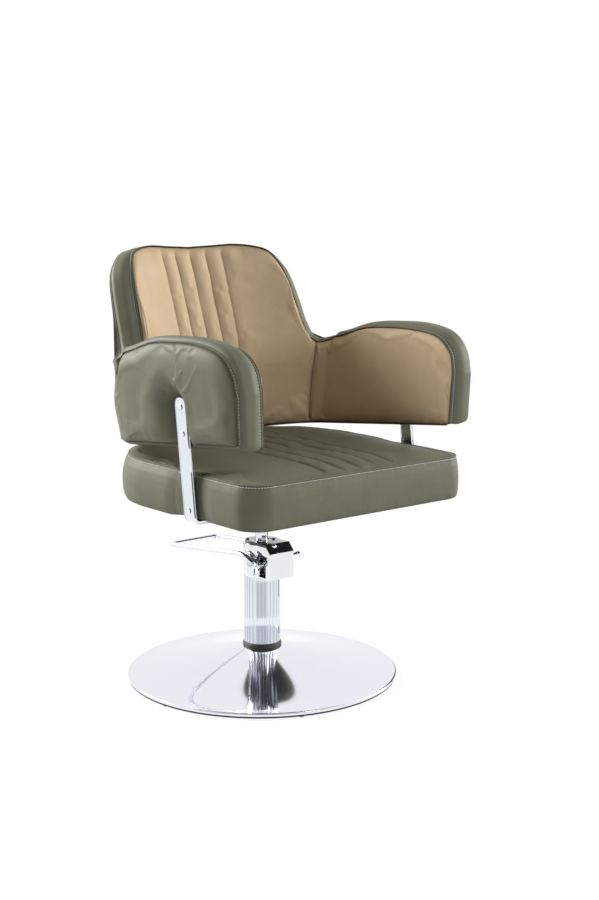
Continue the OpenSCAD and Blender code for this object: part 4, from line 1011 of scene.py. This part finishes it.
# How far a side bar draws the pad in, from 0 to 1, by the distance from the bar's middle line: full on
# a floor under the bar, then falling over a long span behind it and short ones in front and above;
# above the bar's end the hollow leans back
def drawnIn(y, z):
    up = np.maximum(0, z - barTop + bar.width / 2)
    off = y - barY(z) - armPad.tilt * np.maximum(0, up - armPad.floor)
    far = np.maximum(np.hypot(off, up), 1)
    along = np.where(off > 0, armPad.rear, armPad.front)
    span = 1 / np.hypot(off / far / along, up / far / armPad.above)
    power = mix(1.35, 2.8, ease(0.5 + 0.7 * off / far))
    return (1 - np.clip((far - armPad.floor) / span, 0, 1)) ** power


# Creases that run out from the bar's end, and small gathers over the pad's lower edge
def creases(y, z):
    dy, dz = y - barY(barTop), z - barTop + 4
    far, angle = np.hypot(dy, dz), np.degrees(np.arctan2(dy, dz))
    dips = ((-50, 10, 0.4), (10, 7, 0.6))
    total = sum(deep * np.exp(-((angle - at) / wide) ** 2) for at, wide, deep in dips)
    low = ease((shell.lumbarZ - 20 - z) / 60) * ease((y - barY(z) - 20) / 40)
    total = total * ease(far / 26) * np.exp(-(np.maximum(far - 26, 0) / 34) ** 1.5)
    return total + 0.5 * low * ripple(y * 1.3)


# Nearest points of a chain of points to some others, in a plane, and how far they are
def nearestOn(chain, at):
    a, d = chain[:-1], np.diff(chain, axis=0)
    s = np.clip(((at[:, None] - a) * d).sum(-1) / (d * d).sum(-1), 0, 1)[..., None]
    foot = a + s * d
    far = np.linalg.norm(at[:, None] - foot, axis=-1)
    best, rows = far.argmin(1), np.arange(len(at))
    return foot[rows, best], far[rows, best]


# The pad's outline seen from the side: where it runs near the shell's edge it follows that edge
def padOutline(count):
    weights = spreadWeights(count, len(armOutline), True)
    loop = np.einsum("ni,ik->nk", weights, armOutline) + [0, shell.lumbarZ]
    upper = shellPoint(np.linspace(10.6, shell.end, 120), 1.0, band.outer)
    front = shellPoint(shell.end, np.linspace(1, 0, 60)[1:], band.outer)
    lower = shellPoint(np.linspace(shell.end, 9.8, 120)[1:], 0.0, band.outer)
    edge, far = nearestOn(np.concatenate([upper, front, lower])[:, 1:], loop)
    return mix(loop, edge + unit(loop.mean(0) - edge) * band.seam, ease((20 - far) / 8)[:, None])


# Depth of the pad's face at a share s of the way to its outline: puffed, rounded off at the outline,
# tucked in behind, and drawn in to the bar
def padSurface(q, z, s):
    y = shellAt(q, z, shell.armT + 0 * z)[..., 1]
    w = armPad.face + armPad.puff * (1 - s ** 7) - armPad.round * ease((s - 0.965) / 0.035) ** 2
    w = w - armPad.tuck * ease((y - 30) / 55)
    pull = drawnIn(y, z)
    return mix(w, barIn - armPad.room - armX(z), pull) - creases(y, z) * (1 - pull) ** 0.5


# Rings from a middle point out to the outline make the face; the rest goes in under it
def makeArmPad(side):
    count, shares = 480, np.concatenate([np.linspace(armPad.start, 0.9, 64), np.linspace(0.915, 1, 14)])
    outline = padOutline(count)
    loop = np.stack([qOfY(outline[:, 0], outline[:, 1], shell.armT), outline[:, 1] - shell.lumbarZ], -1)
    mid = np.array([qOfY(barY(armPad.midZ), armPad.midZ, shell.armT), armPad.midZ - shell.lumbarZ])

    def place(loop, shares):
        at = mix(mid, loop[:, None], shares[:, None])
        q, z = at[..., 0], shell.lumbarZ + at[..., 1]
        pull = drawnIn(shellAt(q, z, shell.armT + 0 * q)[..., 1], z)
        return shellAt(q, z, padSurface(q, z, shares * np.ones_like(q))), pull

    coarse, pull = place(loop[:: count // 120], np.linspace(armPad.start, 1, 30))
    held = pull > 0.9
    held[:, -1] = True
    moved = stuffed(coarse, held, cloth.armLimit, True) * (1 - pull[..., None])
    columns = np.round((shares - armPad.start) / (1 - armPad.start) * 199).astype(int)
    face = place(loop, shares)[0] + spread(moved, count, 200, True)[:, columns]
    q, z = loop[:, 0], shell.lumbarZ + loop[:, 1]
    edge = padSurface(q, z, 1 + 0 * q)
    rings = [shellAt(q, z, mix(edge, armPad.inner, s)) for s in (0.25, 0.55, 0.92)]
    for s in (0.995, 0.7, 0.4):
        at = mix(np.array(armPad.innerMid), loop, s)
        rings.append(shellAt(at[:, 0], shell.lumbarZ + at[:, 1], armPad.inner + 0 * at[:, 0]))
    grid = np.concatenate([face, np.stack(rings, 1)], 1)
    rows, cols = grid.shape[:2]
    tip = face[:, 0].mean(0) + [0.05, 0, 0]
    q, z = np.array(armPad.innerMid, float) + [0, shell.lumbarZ]
    points = np.concatenate([grid.reshape(-1, 3), [tip, shellAt(q, z, armPad.inner)]]) * [side, 1, 1]
    # Painted shade: the face darkens towards its outline, and the rings under it take the full deep colour
    fade = np.concatenate([np.exp(-(1 - shares) / 0.02), np.ones(len(rings))])
    seam = np.broadcast_to(fade, (rows, cols)).copy()
    # Painted shade in the hollow where the bar draws the pad in
    seam[:, :len(shares)] += 0.7 * drawnIn(face[..., 1], face[..., 2]) ** 3
    makePiece("outer_pad_" + sideName(side), (points, cappedFaces(rows, cols)), "chair", "olive_leather",
        ["arm_outer_" + sideName(side)], seam=np.append(seam, [0, 1]))
    rim = face[:, -1]
    outward = unit((rim - rim.mean(0)) * [0, 1, 1])
    makePiping("pad_piping_" + sideName(side), evenly((rim + outward * 0.5) * [side, 1, 1], 4, True),
        (1.0, 0.001, 0.002), 1.1, finishes.piping)


makeArmPad(-1)
makeArmPad(1)
print("outer arm pads made")


# The shell's edge as steps (p, t): over the top, down one arm's front, along the lower edge and back up
def edgeLoop():
    end, rp, rt = shell.end, band.cornerP, band.cornerT
    top, hem = band.top // 2, band.hem // 2
    a = np.linspace(0, pi / 2, 10)
    corner = np.stack([end - rp + rp * np.cos(a), rt - rt * np.sin(a)], -1)
    right = np.concatenate([np.stack([np.linspace(0, end, top), np.ones(top)], -1),
        np.stack([np.full(band.front, end), np.linspace(1, rt, band.front + 1)[1:]], -1), corner[1:],
        np.stack([np.linspace(end - rp, 0, hem)[1:], np.zeros(hem - 1)], -1)])
    return np.concatenate([right, right[-2:0:-1] * [-1, 1]])


# Distance outside the outer arm pad's outline, seen from the side, negative within it
def outsidePad(y, z):
    loop = padOutline(160)
    at = np.stack([np.ravel(y), np.ravel(z)], -1)
    far = nearestOn(np.concatenate([loop, loop[:1]]), at)[1]
    a, b = loop, np.roll(loop, -1, 0)
    crossed = (a[:, 1] > at[:, 1:]) != (b[:, 1] > at[:, 1:])
    rise = np.where(b[:, 1] == a[:, 1], 1e-9, b[:, 1] - a[:, 1])
    x = a[:, 0] + (at[:, 1:] - a[:, 1]) / rise * (b[:, 0] - a[:, 0])
    within = (crossed & (at[:, :1] < x)).sum(1) % 2 == 1
    return np.where(within, -far, far).reshape(np.shape(y))


# The cover swells at the back's corners, above the outer arm pads
def shoulder(q, z):
    span = np.where(z > band.bulgeZ, band.spanUp, band.spanDown)
    full = ease((q - 0.55) / 0.5) * (1 - 0.45 * ease((q - 1.05) / 0.25))
    return band.bulge * np.exp(-((z - band.bulgeZ) / span) ** 2) * full


# Outer depth of the cover behind: thinner round the corners and towards the lower edge, let in under
# the outer arm pads
def skinDepth(p, t):
    q, z = shellQz(p, t, shell.armT + 0 * p)
    swell = shoulder(q, z)
    behind = shell.backT - shell.hemThin * ease((shell.lumbarZ - 10 - z) / 110) + swell
    behind = behind - band.dip * np.exp(-((np.abs(p) - 3.8) / 0.75) ** 2) * ease((t - 0.8) / 0.2)
    y = shellAt(q, z, shell.armT + 0 * z)[..., 1]
    far = np.where(q > 1, outsidePad(y, z), 99)
    return mix(armPad.inner - armPad.room, behind, ease((far + 2) / 7)), y, z, swell, far


# The cover is rings that follow the shell's edge: they widen on the inside from a middle point, go over
# the edge and across the band, and narrow again over the back to its middle
def makeCoverPiece():
    loop = edgeLoop()
    p, t = loop.T
    depth, y, z, swell, far = skinDepth(p, t)
    side = ease((7 - far) / 5) * (np.abs(p) > 9)
    outer = mix(depth - band.sunk - swell, band.outer, side)
    beside = barIn - armPad.room - band.room - armX(z)
    outer = np.minimum(outer, mix(band.outer, beside, drawnIn(y, z) * side))
    line = shellPoint(p, t, 30)
    ahead = unit(np.roll(line, -1, 0) - np.roll(line, 1, 0))
    away = unit(np.cross(ahead, shellPoint(p, t, 31) - shellPoint(p, t, 29)))
    away *= np.sign(away[0, 2])
    under = ease((0.03 - t) / 0.03)
    crown = mix(band.crown, band.armCrown, ease((np.abs(p) - 3.5) / 2)) * (1 - 0.7 * under)
    scale = (outer - band.start) / band.wide

    # Rise of the band over the edge at a distance across it, on a band of the full width: a rounded
    # allowance up to the stitches, a groove at them and a crown between the two rows; the rear row
    # lies half as far in
    def rise(d):
        d = np.minimum(d, 2 * (band.wide - d))
        lip = 0.5 + 1.5 * np.sqrt(1 - (1 - np.minimum(1, d / 3)) ** 2)
        lip = lip + 0.5 * np.sin(np.minimum(1, d / band.stitch) * pi)
        full = 1 - np.maximum(0, 1 - np.maximum(0, d - band.stitch) / 22) ** 2.1
        return lip * (1 - 0.5 * under) + crown * full - 0.8 * np.exp(-((d - band.stitch) / 1.2) ** 2)

    def ring(w, lift):
        return shellPoint(p, t, w) + away * np.broadcast_to(lift, p.shape)[:, None]

    # The middle of the back is at p 0 and t 0.5
    rings = [shellPoint(p * s, mix(0.5, t, s), band.inside) for s in (0.25, 0.6, 0.93)]
    rings += [ring(w, 0.1) for w in band.inward] + [ring(band.start + 0.3, 0.2)]
    # The rings inside the shell take the full deep colour: painted shade
    seam = [1.0] * len(rings)
    run = runOf(line)
    half = np.array([0, 0.3, 0.9, 1.8, 3, 4.4, 5.4, 6, 6.5, 7, 7.6, 8.6, 10, 12.5, 16, 20, 24, band.wide / 2])
    for d in np.concatenate([half, band.wide - half[-2::-1]]):
        near = min(d, 2 * (band.wide - d))
        pucker = 0.3 * ripple(run * 0.9, 0.05 * d) * np.exp(-abs(near - 9) / 5) * (near > 4)
        rings.append(ring(band.start + d * scale, rise(d) + pucker))
        groove = np.exp(-((near - band.stitch) / 1.4) ** 2)
        # Painted shade at the band's edges and in the grooves of its stitches
        seam.append(0.7 * np.exp(-near / 1.2) + 0.6 * groove + 0.15 * (near < 6))
    back = 1 - side
    # Painted shade: the rings that turn in under the band take half the deep colour, and the back's skin
    # darkens next to them
    for s in (0.35, 0.75, 1.0):
        drop = outer + back * (band.sunk + swell) * np.sin(s * pi / 2) - side * band.tucked * s
        inward = mix(0.5, t, 1 - (0.012 + 0.0015 * swell) * back * s)
        rings.append(shellPoint(p * (1 - 0.0002 * s), inward, drop) + away * mix(0.5, 0.1, s))
        seam.append(0.5)
    for s in np.concatenate([[0.975, 0.96], np.linspace(0.94, 0.04, 40)]):
        pp, tt = p * s, mix(0.5, t, s)
        rings.append(shellPoint(pp, tt, skinDepth(pp, tt)[0]))
        seam.append(0.3 * np.exp(-(1 - s) / 0.03))
    grid = np.stack(rings, 1)
    rows, cols = grid.shape[:2]
    ends = [shellPoint(0, 0.5, w) for w in (band.inside, skinDepth(np.zeros(1), np.full(1, 0.5))[0][0])]
    marks = np.append(np.broadcast_to(seam, (rows, cols)), [1, 0])
    shape = np.concatenate([grid.reshape(-1, 3), ends]), cappedFaces(rows, cols)
    makePiece("shell_upholstery", shape, "chair", "olive_leather", ["shell_cover"],
        seam=np.clip(marks, 0, 1))

    cord = evenly(np.concatenate([ring(band.start - band.cord, band.cord), away], 1), 4, True)
    makePiping("inner_piping", cord[:, :3], cord[:, 3:], 0.95, finishes.piping)
    makeStitches("boxing_stitches", [(ring(band.start + d * scale, rise(d) + band.thread), away)
        for d in (band.stitch, band.wide - band.stitch / 2)])


makeCoverPiece()
print("cover and boxing made")

# Seat cushion
seat = Values(width=572, front=339, rear=228, height=90, lift=3, crown=18, frontR=48, rearR=200, swell=10,
    frontSwell=4, droop=5, pitch=45, depth=4, channels=2, inset=16, board=12.3, pleat=3.2, pleatX=274,
    pleatY=-321, pleatR=14, stitchY=-300, nx=300, ny=150)
seatHalf = seat.width / 2


# The seat's front and rear lines: straight, with a round corner at either side
def seatFront(x):
    over = np.maximum(0, np.abs(x) - seatHalf + seat.frontR)
    return -seat.front + seat.frontR - np.sqrt(np.maximum(0, seat.frontR ** 2 - over ** 2))


def seatRear(x):
    over = np.maximum(0, np.abs(x) - seatHalf + seat.rearR)
    return seat.rear - seat.rearR + np.sqrt(np.maximum(0, seat.rearR ** 2 - over ** 2))


# From 0 in front of the bars to 1 behind them
def behindBar(y):
    return ease((y + bar.forward - 35) / 60)


# Height of the seat: a crown that falls to the seam, with sewn channels that fade before it
def seatTop(x, t):
    u, v = np.abs(x) / seatHalf, np.abs(2 * t - 1)
    near = np.round(x / seat.pitch)
    off = x - near * seat.pitch
    dip = np.where(np.abs(near) <= seat.channels, np.exp(-(off / 4) ** 2), 0)
    inside = np.abs(x) < (seat.channels + 0.5) * seat.pitch
    puff = np.where(inside, 1.2 * np.cos(off / seat.pitch * 2 * pi), -1.2)
    fade = ease((1 - v) * 6)
    y = mix(seatFront(x), seatRear(x), t)
    z = seatZ + seat.height + seat.lift * behindBar(y) + seat.crown * (1 - u ** 6) * (1 - v ** 6)
    return z - (seat.depth * dip + 0.6 * (puff + 1.2)) * fade, dip * fade


# Places of the seat's grid, closer together towards its sides
def seatGrid(nx, ny):
    x = seatHalf * np.sin(np.linspace(-1, 1, nx) * 1.35) / np.sin(1.35)
    t = mix(np.linspace(0, 1, ny), (1 - np.cos(np.linspace(0, pi, ny))) / 2, 0.5)
    x, t = x[:, None] + 0 * t[None], t[None] + 0 * x[:, None]
    z, dip = seatTop(x, t)
    return np.stack([x, mix(seatFront(x), seatRear(x), t), z], -1), dip, x, t


# The seat: its top, a side of rings that swell out between the two seams, and a flat underside
def makeSeat():
    face, dip, x, t = seatGrid(seat.nx, seat.ny)
    coarse = seatGrid(72, 44)[0]
    channels = range(-seat.channels, seat.channels + 1)
    sewnRows = [np.argmin(np.abs(coarse[:, 0, 0] - k * seat.pitch)) for k in channels]
    face = face + crowned(coarse, sewnRows, 4, seat.nx, seat.ny)
    loop = loopOf(face)[:, :2]
    ahead = unit(np.roll(loop, -1, 0) - np.roll(loop, 1, 0))
    away = np.stack([ahead[:, 1], -ahead[:, 0]], -1)
    away *= np.sign(((loop - [0, -50]) * away).sum(1).mean())
    h, grown = seat.height, behindBar(loop[:, 1])
    apart = ease((np.abs(loop[:, 1] + bar.forward) - 22) / 45)
    puffed = np.maximum(seat.swell * grown, seat.frontSwell * apart)
    corner = sum(np.exp(-((loop - [s * seat.pleatX, seat.pleatY]) ** 2).sum(1) / seat.pleatR ** 2)
        for s in (-1, 1))

    # A ring at a share of the side's height: the side is a little taller and hangs lower behind the bars
    def ring(z, out, swell, pleat=0.0):
        s = out + swell * puffed - pleat * corner
        share = np.clip(z / h, 0, 1)
        droop = seat.droop * (1 - share) ** 2 * np.clip((s + 8) / 8, 0, 1)
        level = seatZ + z + (seat.lift * share - droop) * grown
        return np.concatenate([loop + away * s[:, None], level[:, None]], 1)

    # The side's profile: how far out it lies at a height, and how much it swells there
    levels = np.array([0.0, 3, 9, 0.2 * h, 0.35 * h, 0.5 * h, 0.65 * h, 0.8 * h, 0.9 * h, 0.96 * h, h])
    outs = np.array([-3, 1, 2.8, 4, 4.7, 5, 4.7, 4, 2.6, 1.3, 0])
    swells = np.array([0.4, 0.7, 0.86, 1, 1.02, 1, 0.85, 0.6, 0.36, 0.2, 0])
    run = runOf(loop)
    rings, marks = [], []
    for z in np.concatenate([[h - 1.2, h - 2.6], np.linspace(h - 5, 5, 26), [3, 1.2, 0.3]]):
        wave = 0.5 * ripple(run, 0.4) * (np.exp(-(h - z) / 9) + np.exp(-z / 12))
        pleat = seat.pleat * np.sin(pi * min(1, z / h)) ** 0.5
        out = np.interp(z, levels, outs) + wave * (z > 1)
        rings.append(ring(z, out, np.interp(z, levels, swells), pleat))
        # Painted shade: the side darkens under its top seam and towards its foot
        marks.append(np.exp(-(h - z) / 3) + 0.8 * np.exp(-z / 4))
    for z, out, swell in ((0, -6, 0.35), (0, 0.3 - seat.inset, 0), (seat.board, 0.3 - seat.inset, 0)):
        rings.append(ring(z, out, swell))
    under = np.full((len(loop), 1), seatZ + seat.board)
    rings += [np.concatenate([(loop - away * seat.inset) * s, under], 1) for s in (0.7, 0.4)]
    # Painted shade along the top's edges and in its sewn channels; the rings under the seat take the full
    # deep colour
    x1, t1 = np.minimum(1, np.abs(x) / seatHalf), np.abs(2 * t - 1)
    seam = np.clip(np.exp(-(1 - x1) / 0.012) + np.exp(-(1 - t1) / 0.012) + 0.7 * dip, 0, 1)
    seam = np.concatenate([seam.ravel(), np.repeat(marks + [1.0] * 5, len(loop)), [1]])
    makePiece("seat_pad", rimmed(face, rings, [0, 0, seatZ + seat.board]), "chair", "olive_leather",
        ["seat_cushion"], seam=np.clip(seam, 0, 1))
    edge = ring(h, 0, 0) + [0, 0, 0.2]
    makePiping("seat_welt", evenly(edge, 4, True), (0, 0, 1.0), 1.3, finishes.olive_leather)

    # One row of stitches on the side below the seam, and one on the top round its sides and rear
    below = ring(h - 3, np.interp(h - 3, levels, outs) + 0.3, np.interp(h - 3, levels, swells))
    rim = edge[:, :2] - away * 5
    inX = np.clip(rim[:, 0], -seatHalf + 1, seatHalf - 1)
    share = (rim[:, 1] - seatFront(inX)) / np.maximum(1, seatRear(inX) - seatFront(inX))
    above = np.stack([*rim.T, seatTop(inX, np.clip(share, 0, 1))[0] + 0.5], -1)
    behind = np.flatnonzero(loop[:, 1] > seat.stitchY)
    start = behind[np.argmax(np.diff(behind, prepend=behind[-1] - len(loop)))]
    order = (start + np.arange(len(behind))) % len(loop)
    sideUp = np.concatenate([away, np.zeros((len(loop), 1))], 1)
    makeStitches("seat_stitches", [(below, sideUp), (above[order], np.tile([0.0, 0, 1], (len(order), 1)))])


makeSeat()
print("seat made")

# Stage, lights and background
studio = Values(floor=6.0, rings=(0.4, 0.8, 1.6, 3.0), turns=96, paper=(0.8, 0.8, 0.8),
    pale=(0.83, 0.83, 0.83), ambient=0.08, white=1.0, near=0.86, fadeFrom=0.5, fade=1.3)
lamps = [
    Values(name="left_softbox", place=(-1.9, 2.9, 2.1), aim=(0, 0, 0.6), size=(1.8, 1.8), power=320),
    Values(name="right_softbox", place=(3.45, -1.3, 1.6), aim=(0, 0, 0.6), size=(1.8, 2.0), power=180),
    Values(name="front_softbox", place=(-0.15, -2.6, 2.9), aim=(0, 0, 0.7), size=(2.0, 2.0), power=82)]


def stageObject(name, points, faces):
    mesh = bpy.data.meshes.new(name)
    mesh.from_pydata(points.tolist(), [], faces)
    thing = bpy.data.objects.new(name, mesh)
    scene.collection.objects.link(thing)
    return thing


# White paper that shows itself white where it is seen, and takes faint shadows near the chair
def makeStage():
    count = studio.turns
    a = np.arange(count) / count * 2 * pi
    rings = [np.stack([r * np.cos(a), r * np.sin(a), 0 * a], -1) for r in (*studio.rings, studio.floor)]
    faces = gridFaces(5, count, False, True).tolist() + fanFaces(np.arange(count)[::-1], 5 * count).tolist()
    floor = stageObject("studio_floor", np.concatenate(rings + [np.zeros((1, 3))]), faces)
    paper = Finish("pale_paper", {"Roughness": 0.9, "Specular IOR Level": 0.1})
    paper.give(colour=paper.tint(paper.noise(30) * 0.3, studio.paper, studio.pale))
    far = paper.add("ShaderNodeVectorMath", {"operation": "LENGTH"}, {0: paper.place}, "Value")
    glow = paper.add("ShaderNodeEmission", {}, {"Strength": studio.white})
    rise = ((far - studio.fadeFrom) * studio.fade).kept()
    share = (paper.seen() * (studio.near + (1 - studio.near) * rise)).kept()
    both = paper.add("ShaderNodeMixShader", {}, {0: share, 1: Wire(paper, paper.shader.outputs[0]), 2: glow})
    paper.feed(paper.nodes["Material Output"].inputs["Surface"], both)
    floor.data.materials.append(paper.material)


# Grey and dark cards seen only in reflections, in arcs round the chair
def makeCard(name, start, stop, low, high, far, strength):
    a = np.radians(np.linspace(start, stop, 24))
    foot = np.stack([far * np.cos(a), far * np.sin(a), low + 0 * a], -1)
    card = stageObject(name, np.concatenate([foot, foot + [0, 0, high - low]]), gridFaces(2, 24).tolist())
    card.visible_camera = card.visible_diffuse = card.visible_shadow = card.visible_transmission = False
    grey = bpy.data.materials.new(name)
    tree = Tree(grey)
    tree.nodes.remove(tree.nodes["Principled BSDF"])
    tree.feed(tree.nodes["Material Output"].inputs["Surface"],
        tree.add("ShaderNodeEmission", {}, {"Strength": strength}))
    card.data.materials.append(grey)


# Softboxes, and air that lights the chair dimly and shows white behind it
def makeLights():
    for lamp in lamps:
        data = bpy.data.lights.new(lamp.name, "AREA")
        data.shape, data.energy = "RECTANGLE", lamp.power
        data.size, data.size_y = lamp.size
        light = bpy.data.objects.new(lamp.name, data)
        light.location = lamp.place
        light.rotation_euler = (Vector(lamp.aim) - Vector(lamp.place)).to_track_quat("-Z", "Y").to_euler()
        light.visible_camera = False
        scene.collection.objects.link(light)
    world = bpy.data.worlds.new("studio_air")
    scene.world = world
    air = Tree(world)
    air.nodes.clear()
    dim, bright = [air.add("ShaderNodeBackground", {}, {"Color": (1, 1, 1, 1), "Strength": strength})
        for strength in (studio.ambient, studio.white)]
    both = air.add("ShaderNodeMixShader", {}, {0: air.seen(), 1: dim, 2: bright})
    air.feed(air.nodes.new("ShaderNodeOutputWorld").inputs["Surface"], both)


makeStage()
makeCard("front_card", -165, -95, 0.005, 0.2, 0.42, 0.62)
makeCard("high_card", -175, -85, 0.9, 2.0, 1.2, 0.04)
makeCard("side_card", -16, 16, 0.01, 0.6, 0.72, 0.06)
makeLights()
print("studio made")
